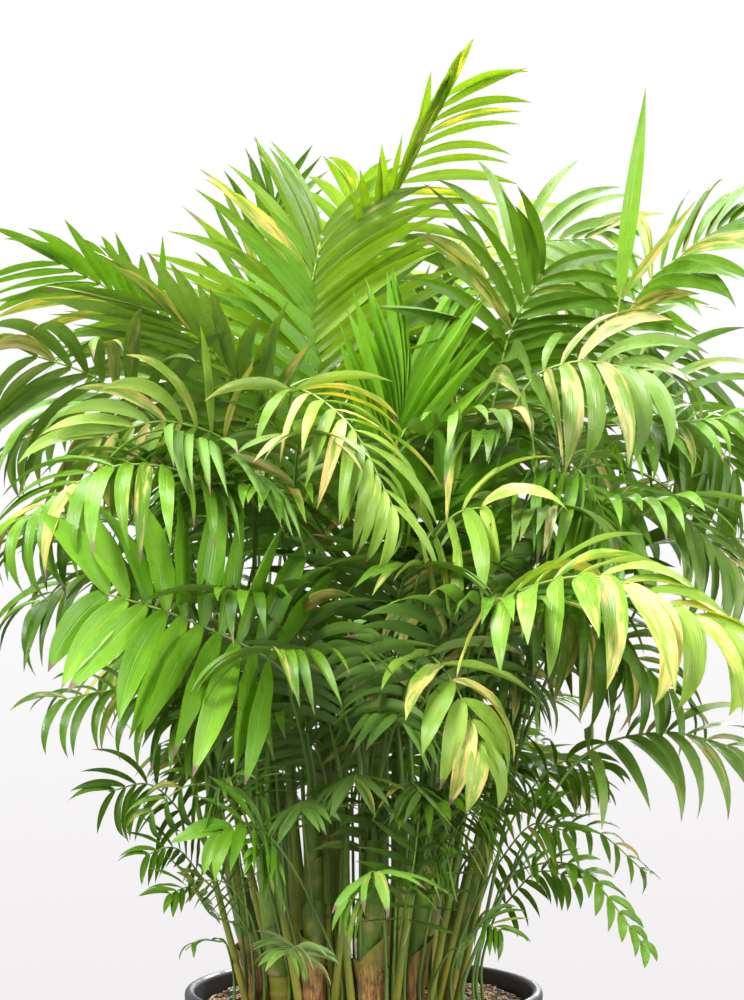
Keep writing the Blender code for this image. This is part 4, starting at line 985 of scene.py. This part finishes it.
# The pattern on every leaflet: a pale midrib, fine veins along the blade, mottling, yellow or tan
# patches, dry tips and a duller underside. It gives a colour, a height and a roughness.
leaf_pattern, given, taken = new_group(
    "leaf_pattern", "ShaderNodeTree", {"Deep": "Color", "Light": "Color", "Under": "Color", "Tan": "Color"},
    {"Colour": "Color", "Height": "Float", "Roughness": "Float"})
tree = leaf_pattern
u = attribute(tree, "leaf_u")
v = attribute(tree, "leaf_v")
under = sums(tree, "LESS_THAN", attribute(tree, "leaf_side"), 0.0)
tone, tan, tip = parts_of(tree, attribute(tree, "tint", "Vector"))
luck = attribute(tree, "luck")
place = object_place(tree)
strip = set_node(tree, "ShaderNodeCombineXYZ", {
    "X": times(tree, u, 5.0), "Y": times(tree, v, 9.0), "Z": times(tree, luck, 57.0)})
streaks = noise(tree, strip.outputs[0], 1.0, 4.0, 0.6)
mottle = noise(tree, place, 90.0, 3.0)
rib = between(tree, sums(tree, "ABSOLUTE", v), 0.02, 0.10, 1.0, 0.0)
veins = times(tree, plus(tree, sums(tree, "SINE", times(tree, v, 34.0)), 1.0), 0.5)
share = plus(tree, times(tree, streaks, 0.62), times(tree, mottle, 0.38))
share = plus(tree, share, less(tree, tone, 0.5))
share = sums(tree, "ADD", share, times(tree, veins, 0.12), clamp=True)
colour = blended(tree, share, given.outputs["Deep"], given.outputs["Light"])
colour = blended(tree, times(tree, rib, 0.45), colour, given.outputs["Under"])
colour = blended(tree, times(tree, under, 0.55), colour, given.outputs["Under"])
broad = set_node(tree, "ShaderNodeCombineXYZ", {
    "X": times(tree, u, 3.4), "Y": times(tree, v, 1.6), "Z": times(tree, luck, 91.0)})
patch = noise(tree, broad.outputs[0], 0.8, 4.0, 0.6)
patch = plus(tree, patch, times(tree, less(tree, streaks, 0.5), 0.30))
patch = between(tree, plus(tree, patch, less(tree, tan, 0.5)), 0.50, 0.70)
colour = blended(tree, patch, colour, given.outputs["Tan"])
edge = plus(tree, u, times(tree, less(tree, streaks, 0.5), 0.12))
dry = between(tree, edge, less(tree, 1.0, tip), less(tree, 1.03, tip))
dry_colour = blended(tree, streaks, (0.180, 0.105, 0.075), (0.420, 0.300, 0.230))
colour = blended(tree, dry, colour, dry_colour)
tree.links.new(colour, taken.inputs["Colour"])
tree.links.new(less(tree, veins, times(tree, rib, 2.0)), taken.inputs["Height"])
rough = plus(tree, between(tree, mottle, 0.3, 0.7, 0.24, 0.38), times(tree, under, 0.18))
rough = plus(tree, rough, times(tree, sums(tree, "MAXIMUM", dry, patch), 0.22))
tree.links.new(rough, taken.inputs["Roughness"])


def leaf_material(name, deep, light, under, tan, through):
    """A leaf: a glossy skin over a blade that lets light through. Through is the share let through."""
    made, tree, shader = new_material(name)
    pattern = set_node(tree, "ShaderNodeGroup", node_tree=leaf_pattern)
    for key, value in (("Deep", deep), ("Light", light), ("Under", under), ("Tan", tan)):
        pattern.inputs[key].default_value = (*value, 1)
    feed(tree, shader, pattern.outputs["Colour"], pattern.outputs["Roughness"],
         pattern.outputs["Height"], 0.35, 0.0003)
    shader.inputs["Specular IOR Level"].default_value = 0.5
    glow = blended(tree, 1.0, pattern.outputs["Colour"], (1.0, 0.95, 0.45), "MULTIPLY")
    glow = blended(tree, 1.0, glow, (0.30, 0.34, 0.05), "ADD")
    lit = set_node(tree, "ShaderNodeBsdfTranslucent", {"Color": glow})
    mixed = set_node(tree, "ShaderNodeMixShader", {0: through, 1: shader.outputs[0], 2: lit.outputs[0]})
    tree.links.new(mixed.outputs[0], tree.nodes["Material Output"].inputs["Surface"])
    return made


LEAVES = {
    # The bright leaf is the fresh leaf painted lighter, as painted light; it stands in the fresh leaf's slot.
    "bright": leaf_material("leaf_bright", (0.085, 0.290, 0.008), (0.330, 0.620, 0.045),
                            (0.320, 0.560, 0.110), (0.660, 0.600, 0.150), 0.34),
    "fresh": leaf_material("leaf_fresh", (0.050, 0.185, 0.006), (0.260, 0.500, 0.030),
                           (0.260, 0.460, 0.110), (0.620, 0.520, 0.150), 0.32),
    "backlit": leaf_material("leaf_backlit", (0.040, 0.135, 0.003), (0.290, 0.460, 0.016),
                             (0.330, 0.470, 0.070), (0.680, 0.560, 0.200), 0.50),
    "mature": leaf_material("leaf_mature", (0.018, 0.080, 0.003), (0.160, 0.340, 0.018),
                            (0.170, 0.290, 0.050), (0.520, 0.440, 0.110), 0.30),
    "grey": leaf_material("leaf_grey", (0.060, 0.170, 0.018), (0.300, 0.470, 0.090),
                          (0.250, 0.360, 0.110), (0.600, 0.500, 0.220), 0.28),
    "pale": leaf_material("leaf_pale", (0.120, 0.330, 0.022), (0.470, 0.640, 0.110),
                          (0.440, 0.580, 0.170), (0.840, 0.680, 0.270), 0.38),
}

stalk_skin, tree, shader = new_material("stalk_skin")
place = object_place(tree)
along = attribute(tree, "along")
streaks = drawn_out(tree, (600.0, 600.0, 60.0), 3.0, 0.6)
colour = blended(tree, streaks, (0.070, 0.160, 0.020), (0.190, 0.320, 0.060))
colour = laid_over(tree, colour, (0.330, 0.440, 0.080), along, 0.45, 1.0, 0.75)
blush = between(tree, noise(tree, place, 60.0, 2.0), 0.55, 0.75, 0.0, 0.5)
colour = blended(tree, blush, colour, (0.240, 0.230, 0.060))
feed(tree, shader, colour, between(tree, streaks, 0.2, 0.8, 0.32, 0.52), streaks, 0.2, 0.0004)

# The share of a frond's leaflets that are yellow or tan, and the share that have dry tips.
USUAL_TAN = 0.20
TAN_SHARE = {
    "far_left_arch": 0.25, "left_arch": 0.5, "left_front_droop": 0.3, "left_tan": 0.7, "right_folded": 0.6,
    "centre_cascade": 0.55, "small_arch": 0.7, "low_right_hang": 0.35, "right_arch_high": 0.35,
    "front_right_pale": 0.75, "low_centre_hang": 0.5, "pale_crown": 0.4, "lance": 0.25,
    "right_grey_droop": 0.45, "far_back_right": 0.3, "front_left_bright": 0.0, "centre_upright": 0.0,
    "star_fan": 0.0, "bright_tuft": 0.0,
}
USUAL_TIPS = 0.4
TIP_SHARE = {"front_left_bright": 0.3, "low_centre_hang": 0.7, "brown_tip_fan": 0.9, "right_wisp": 0.6,
             "low_right_hang": 0.6, "front_right_pale": 0.4, "left_low_droop": 0.5}

# Seedlings and low side shoots crowd round the feet of the canes: small fronds of very fine leaflets.
SPRAY_INSET = (0.80, 0.88)
# foot (x, y), end of the blade (x, y, z), blade length, leaflet length, droop, tone, the frond beside it
LOW_SPRAYS = [
    (-0.094, -0.036, -0.178, -0.075, 0.385, 0.075, 0.050, 70, "mature", "curled_left"),
    (-0.088, -0.060, -0.150, -0.110, 0.345, 0.062, 0.036, 40, "mature", "fine_left"),
    (-0.076, -0.074, -0.132, -0.142, 0.322, 0.055, 0.032, 30, "mature", "fine_left"),
    (-0.066, -0.084, -0.098, -0.160, 0.395, 0.050, 0.046, 60, "fresh", "bright_tuft"),
    (-0.054, -0.092, -0.070, -0.166, 0.352, 0.048, 0.042, 75, "fresh", "bright_tuft"),
    (-0.040, -0.094, -0.042, -0.156, 0.382, 0.055, 0.044, 50, "fresh", "bright_tuft"),
    (-0.030, -0.098, -0.050, -0.160, 0.286, 0.030, 0.036, 70, "grey", "seedling"),
    (-0.002, -0.104, -0.006, -0.160, 0.400, 0.060, 0.046, 60, "mature", "brown_tip_fan"),
    (0.026, -0.100, 0.040, -0.150, 0.392, 0.065, 0.050, 50, "mature", "dark_ladder"),
    (0.036, -0.094, 0.058, -0.150, 0.350, 0.070, 0.048, 35, "mature", "dark_ladder"),
    (0.050, -0.086, 0.086, -0.150, 0.372, 0.070, 0.046, 45, "mature", "low_right_short"),
    (0.064, -0.078, 0.112, -0.128, 0.400, 0.072, 0.044, 60, "mature", "low_right_short"),
    (0.078, -0.070, 0.140, -0.118, 0.362, 0.070, 0.040, 60, "fresh", "right_sprig"),
    (0.088, -0.046, 0.168, -0.086, 0.402, 0.078, 0.044, 70, "mature", "right_sprig"),
    (0.084, -0.030, 0.150, -0.060, 0.322, 0.070, 0.034, 60, "mature", "right_sprig"),
    (0.060, -0.090, 0.094, -0.130, 0.296, 0.045, 0.034, 50, "mature", "low_right_short"),
    (0.074, 0.056, 0.140, 0.110, 0.400, 0.080, 0.050, 60, "mature", "back_low_right"),
    (0.040, 0.086, 0.070, 0.170, 0.380, 0.080, 0.050, 60, "mature", "back_low_right"),
    (-0.040, 0.086, -0.080, 0.170, 0.390, 0.080, 0.050, 60, "fresh", "back_low_left"),
    (-0.080, 0.050, -0.150, 0.100, 0.400, 0.080, 0.050, 60, "mature", "back_low_left"),
]

# Behind and below each frond of the canes hangs an older one, turned aside, shorter and darker.
OLDER_REACH = 0.82
OLDER_DROP = 0.052
NO_OLDER = (
    "lance", "thin_spire", "pale_crown", "top_spire", "front_left_bright", "left_front_droop",
    "small_arch", "low_centre_hang", "front_right_pale", "centre_cascade", "centre_upright",
    "star_fan", "right_wisp", "left_tan", "grey_sweep", "right_folded", "inner_left", "inner_right",
    "right_arch_tall", "right_arch_high",
)


def swung(x, y, turn):
    """A place on plan, swung round the pot's middle."""
    return x * math.cos(turn) - y * math.sin(turn), x * math.sin(turn) + y * math.cos(turn)


# Every frond to make: the piece's name, the CAD node it stands for, the row that seats it, its own row.
growth = [("leaf_" + row.name, "frond_" + row.name, row, row) for row in FRONDS]
for number, row in enumerate(FRONDS):
    if isinstance(row.foot, str) and row.name not in NO_OLDER:
        luck = random.Random(row.name + "older")
        turn = (0.30 + 0.30 * luck.random()) * (1 if number % 2 else -1)
        moved = []
        for x, y, z in (row.start, row.middle, row.end):
            x, y = swung(x, y, turn)
            moved.append((OLDER_REACH * x, OLDER_REACH * y, z - OLDER_DROP))
        x, y, z = row.look
        tone = "mature" if luck.random() < 0.75 else "fresh"
        older = Frond(row.name + "_older", row.foot, *moved, (*swung(x, y, turn), z), row.pairs + 2,
                      row.leaf_length * 0.95, row.leaf_width * 0.85, row.sweep_start, row.sweep_end,
                      row.droop + 10, tone)
        growth.append(("leaf_" + older.name, "frond_" + row.name, row, older))


def grow(node, frond):
    """Adds a frond with a foot of its own, which stands for the node beside it."""
    growth.append(("leaf_" + frond.name, node, frond, frond))


# Each young stem carries one frond of its own, which arches outwards and fills the lower crown.
for number, (x, y, top_x, top_y, top_z, girth, beside) in enumerate(YOUNG_STEMS):
    luck = random.Random(number * 17 + 5)
    turn = math.atan2(top_y, top_x) + luck.uniform(-0.9, 0.9)
    away = Vector((math.cos(turn), math.sin(turn), 0))
    top = Vector((top_x, top_y, top_z))
    reach = luck.uniform(0.85, 1.2)
    moved = [top + away * 0.012 * reach + UP * 0.030, top + away * 0.055 * reach + UP * 0.078 * reach,
             top + away * 0.118 * reach + UP * 0.088 * reach]
    tone = ("mature", "fresh", "mature", "grey")[number % 4]
    grow(beside, Frond(f"young_{number + 1:02d}", top, *moved, away * 0.35 + UP + DOWN * 0.1, 10,
                       luck.uniform(0.072, 0.098), 0.0105, 62, 28, luck.uniform(40, 75), tone))

for number, row in enumerate(LOW_SPRAYS):
    x, y, end_x, end_y, end_z, blade_length, leaf_length, droop, tone, beside = row
    away = Vector((end_x - x, end_y - y, 0)).normalized()
    tip_spot = Vector((end_x, end_y, end_z))
    moved = [tip_spot - away * blade_length * 0.80 - UP * 0.34 * blade_length,
             tip_spot - away * blade_length * 0.42 + UP * 0.04 * blade_length, tip_spot]
    grow("frond_" + beside, Frond(f"spray_{number + 1:02d}", (x * SPRAY_INSET[0], y * SPRAY_INSET[1]), *moved,
                                  away * 0.3 + UP + Vector((0, -0.5, 0)), 7, leaf_length, 0.0068,
                                  66, 30, droop, tone))

# Inside the clump the youngest shoots fill the gaps between the canes with short arching fronds.
INNER_SPRAYS = 40
INNER_TURN = 2.4
INNER_INSET = 0.75
for number in range(INNER_SPRAYS):
    luck = random.Random(number * 13 + 7)
    turn = number * INNER_TURN
    reach = 0.030 + 0.062 * math.sqrt((number + 0.5) / INNER_SPRAYS)
    x, y = reach * math.cos(turn), reach * math.sin(turn)
    turn += luck.uniform(-0.9, 0.9)
    away = Vector((math.cos(turn), math.sin(turn), 0))
    start = Vector((x, y, luck.uniform(0.33, 0.50)))
    moved = [start, start + away * 0.030 + UP * 0.034, start + away * 0.078 + UP * luck.uniform(0.020, 0.050)]
    beside = min(CANES, key=lambda row: (row[1][0] - x) ** 2 + (row[1][1] - y) ** 2)[0]
    grow(beside, Frond(f"inner_{number + 1:02d}", (x * INNER_INSET, y * INNER_INSET), *moved,
                       away * 0.3 + UP, 8, luck.uniform(0.048, 0.074), 0.0092, 64, 30, luck.uniform(35, 80),
                       ("mature", "mature", "fresh")[number % 3]))

# A frond's leaflets over those of its coarse solid: how many more, how much wider, how much longer.
USUAL_SHAPE = (1.25, 0.82, 1.0)
SHAPES = {
    "backlit_fan": (1.40, 0.62, 1.0),
    "top_spire": (1.15, 0.80, 1.0),
    "grey_sweep": (1.20, 0.75, 1.0),
    "brown_tip_fan": (1.20, 1.40, 1.55),
    "bright_tuft": (1.20, 1.35, 1.22),
    "front_left_bright": (1.0, 1.05, 1.0),
    "centre_upright": (1.5, 0.90, 1.12),
    "star_fan": (1.4, 1.0, 1.15),
    "front_right_pale": (1.0, 1.0, 1.0),
    "low_centre_hang": (1.0, 1.0, 1.0),
    "lance": (1.0, 0.64, 0.88),
}
# These fronds wear a copy of the fresh leaf painted lighter: painted light where the light catches them most.
PAINTED_LIT_FRONDS = ("centre_upright", "star_fan", "front_left_bright", "bright_tuft", "brown_tip_fan")
# The lance is a frond that has hardly opened, with one long green leaflet and a short dry one.
# side: sweep in degrees, length, width, how tan
LANCE = {-1: (3, 1.15, 1.0, 0.22), 1: (28, 0.66, 0.55, 0.60)}
FAN_DRYNESS = 1.8


def leaflet_of(frond, frame, share, pair, side_sign):
    """One leaflet's root, direction, side, fall, (length, half width, bend), form, tint and chance."""
    name = frond.name
    centre, way, side, up = frame
    luck = random.Random(name + str(pair * 2 + (side_sign > 0)) + "/0")
    out = side * side_sign
    sweep = math.radians(frond.sweep_start + (frond.sweep_end - frond.sweep_start) * share)
    sweep += luck.uniform(-1, 1) * 0.025
    if name == "lance":
        sweep = math.radians(LANCE[side_sign][0])
    if name == "top_spire" and side_sign < 0:
        sweep *= 0.45
    lift = 0.26 + luck.uniform(-1, 1) * 0.05
    bend = math.radians(frond.droop) * (1 + luck.uniform(-1, 1) * 0.08)
    tilt = 0.42 + luck.uniform(-1, 1) * 0.025
    full = 0.72 + 0.28 * math.sin(math.pi * min(1.0, 0.25 + share * 0.75))
    heading = way * math.cos(sweep) + (out * math.cos(lift) + up * math.sin(lift)) * math.sin(sweep)
    heading.normalize()
    across = (way - heading * way.dot(heading)).normalized()
    face_up = across.cross(heading)
    if face_up.dot(up) < 0:
        face_up = -face_up
    across = across * math.cos(tilt) + face_up * math.sin(tilt)
    if heading.cross(across).dot(up) < 0:
        across = -across
    fall = DOWN + out * 0.25
    fall = (fall - heading * fall.dot(heading)).normalized()
    whim = random.Random(name + str(pair) + "whim" + str(side_sign))
    bend = max(0.05, bend * (1 + whim.uniform(-0.40, 0.42)))
    long = whim.uniform(0.92, 1.06)
    wide = whim.uniform(0.88, 1.08)
    if name == "lance":
        long, wide = LANCE[side_sign][1:3]
    if name == "top_spire" and side_sign < 0:
        long *= 0.72
    size = (frond.leaf_length * full * long, frond.leaf_width * (0.85 + 0.15 * full) / 2 * wide, bend)
    form = (whim.uniform(-0.8, 0.8), whim.uniform(0.12, 0.55), whim.uniform(-0.09, 0.09))
    tan = 0.30 + (0.36 * whim.random() if whim.random() < TAN_SHARE.get(name, USUAL_TAN) else 0.0)
    if name == "lance":
        tan = LANCE[side_sign][3]
    dry = whim.uniform(0.03, 0.14) if whim.random() < TIP_SHARE.get(name, USUAL_TIPS) else 0.0
    if name == "brown_tip_fan":
        dry *= FAN_DRYNESS
    tint = (0.5 + whim.uniform(-0.22, 0.22), tan, dry)
    return centre + out * 0.0004, heading, across, fall, size, form, tint, whim.random()


for piece_name, node, seated, frond in growth:
    name = frond.name
    more, wider, longer = SHAPES.get(name, USUAL_SHAPE)
    frond = frond._replace(pairs=round(frond.pairs * more), leaf_width=frond.leaf_width * wider,
                           leaf_length=frond.leaf_length * longer,
                           tone="bright" if name in PAINTED_LIT_FRONDS else frond.tone)
    base, setting_off = (frond.foot, UP) if isinstance(frond.foot, Vector) else seat_of(seated)
    thick = 0.55 + 0.45 * min(1.0, frond.leaf_length / 0.085)
    blade = [Vector(frond.start), Vector(frond.middle), Vector(frond.end)]
    rise = min(0.030, (blade[0] - base).length * 0.25)
    knots = [base]
    if isinstance(frond.foot, tuple):
        buried = PETIOLE_DEPTH + SOIL_MOUND + 0.002
        knots += [base + UP * (buried / 2), base + UP * buried]
    knots.append(knots[-1] + setting_off * rise)
    knots.append(knots[-1].lerp(blade[0], 0.5) + UP * 0.010)
    route = Route(knots + blade)
    bare = Route(knots + blade[:1]).total
    pitch = (route.total - bare) / frond.pairs
    stations = [route.total * step / STALK_STEPS for step in range(STALK_STEPS + 1)]
    frames = carried(route, stations, Vector(frond.look).normalized())
    flared, fading = (STALK_FLARE, 0.018) if isinstance(frond.foot, str) else (0.25, 0.02)
    girths = []
    for length in stations:
        flare = flared * math.exp(-length / fading)
        girths.append(STALK_RADIUS * thick * ((1 + (STALK_TIP - 1) * length / route.total) + flare))
    leaflets = []
    for pair in range(frond.pairs):
        at = bare + (0.95 if name == "lance" else pair + 0.5) * pitch
        index = min(STALK_STEPS - 1, int(at / route.total * STALK_STEPS))
        mix = at / route.total * STALK_STEPS - index
        frame_here = (frames[index][0].lerp(frames[index + 1][0], mix), *frames[index][1:])
        for side_sign in (1, -1):
            leaflets.append(leaflet_of(frond, frame_here, pair / max(1, frond.pairs - 1), pair, side_sign))
    roots, *rows, chances = zip(*leaflets)
    rest, count = len(stations), len(leaflets)
    source = line_of(name, [stop[0] for stop in frames], roots,
                     along=[length / route.total for length in stations] + [1.0] * count,
                     girth=girths + [0.0] * count, luck=[0.0] * rest + list(chances))
    for key, row in zip(("root", "way", "across", "fall", "size", "form", "tint"), (roots, *rows)):
        flat = [0.0] * (3 * rest) + [number for triple in row for number in triple]
        source.attributes.new(key, "FLOAT_VECTOR", "POINT").data.foreach_set("vector", flat)
    flags = [False] * rest + [True] * count
    source.attributes.new("is_leaflet", "BOOLEAN", "POINT").data.foreach_set("value", flags)
    grown = grown_mesh(name, source, feathered_frond, Leaf_Skin=LEAVES[frond.tone], Stalk_Skin=stalk_skin,
                       Thickness=LEAFLET_THICKNESS, Steps_Along=STEPS_ALONG, Steps_Across=STEPS_ACROSS,
                       Stalk_Sides=STALK_SIDES)
    grown.set_sharp_from_angle(angle=STEM_CREASE)
    finished(piece_name, grown, "leaf_fresh" if frond.tone == "bright" else "leaf_" + frond.tone, node)

# ---- floor, light and camera -----------------------------------------------------------------
# A wide pale floor under a white surround that the camera sees painted greyer towards the bottom as
# painted shade, a big soft light high on the left front, a broad one behind and above that shines
# through the crown, and a weak fill from the right.
CAMERA_PLACE = (0.006, -2.0, 0.589)
LENS = 99
FLOOR_RADIUS = 0.95
FLOOR_TOP = -0.0005
FLOOR_UNDER = -0.002
FLOOR_STEPS = 96

studio_floor, tree, shader = new_material("studio_floor")
cloud = noise(tree, object_place(tree), 1.2, 2.0)
feed(tree, shader, blended(tree, cloud, (0.262, 0.256, 0.258), (0.296, 0.290, 0.292)),
     between(tree, cloud, 0.3, 0.7, 0.7, 0.9))
floor_mesh = turned("studio_floor", [(0, FLOOR_UNDER), (FLOOR_RADIUS, FLOOR_UNDER),
                                     (FLOOR_RADIUS, FLOOR_TOP), (0, FLOOR_TOP)], FLOOR_STEPS)
floor_mesh.materials.append(studio_floor)
floor = bpy.data.objects.new("studio_floor", floor_mesh)
bpy.context.scene.collection.objects.link(floor)

surround = bpy.data.worlds.new("surround")
bpy.context.scene.world = surround
surround.use_nodes = True
tree = surround.node_tree
tree.nodes.clear()
height = parts_of(tree, set_node(tree, "ShaderNodeTexCoord").outputs["Generated"])["Z"]
# Painted shade: the surround seen by the camera is painted greyer and pinker below the horizon; the light it
# sheds is the plain shed colour.
backdrop_painted_shade = blended(tree, between(tree, height, -0.22, 0.05), (0.880, 0.855, 0.862), (1.0, 0.998, 1.0))
seen = set_node(tree, "ShaderNodeBackground", {"Color": backdrop_painted_shade, "Strength": 1.0})
shed = set_node(tree, "ShaderNodeBackground", {"Color": (0.97, 0.98, 1.0, 1), "Strength": 0.36})
ray = set_node(tree, "ShaderNodeLightPath").outputs["Is Camera Ray"]
either = set_node(tree, "ShaderNodeMixShader", {0: ray, 1: shed.outputs[0], 2: seen.outputs[0]})
out = set_node(tree, "ShaderNodeOutputWorld")
tree.links.new(either.outputs[0], out.inputs[0])

for name, place, aim, width, power in (
    ("key_light", (-1.3, -1.7, 2.2), (0, 0, 0.55), 0.8, 116),
    ("back_light", (0.6, 1.7, 1.7), (0, 0, 0.60), 1.3, 104),
    ("top_light", (-0.3, 0.1, 2.4), (0, 0, 0.50), 1.0, 74),
    ("fill_light", (1.9, -1.2, 0.9), (0, 0, 0.45), 1.2, 38),
):
    lamp = bpy.data.lights.new(name, "AREA")
    lamp.size = width
    lamp.energy = power
    lamp_object = bpy.data.objects.new(name, lamp)
    lamp_object.location = place
    lamp_object.rotation_euler = (Vector(aim) - Vector(place)).to_track_quat("-Z", "Y").to_euler()
    bpy.context.scene.collection.objects.link(lamp_object)

camera_data = bpy.data.cameras.new("camera")
camera_data.lens = LENS
camera_data.sensor_width = 36
camera = bpy.data.objects.new("camera", camera_data)
camera.location = CAMERA_PLACE
camera.rotation_euler = (math.pi / 2, 0, 0)
bpy.context.scene.collection.objects.link(camera)
bpy.context.scene.camera = camera
bpy.context.scene.view_settings.view_transform = "Standard"
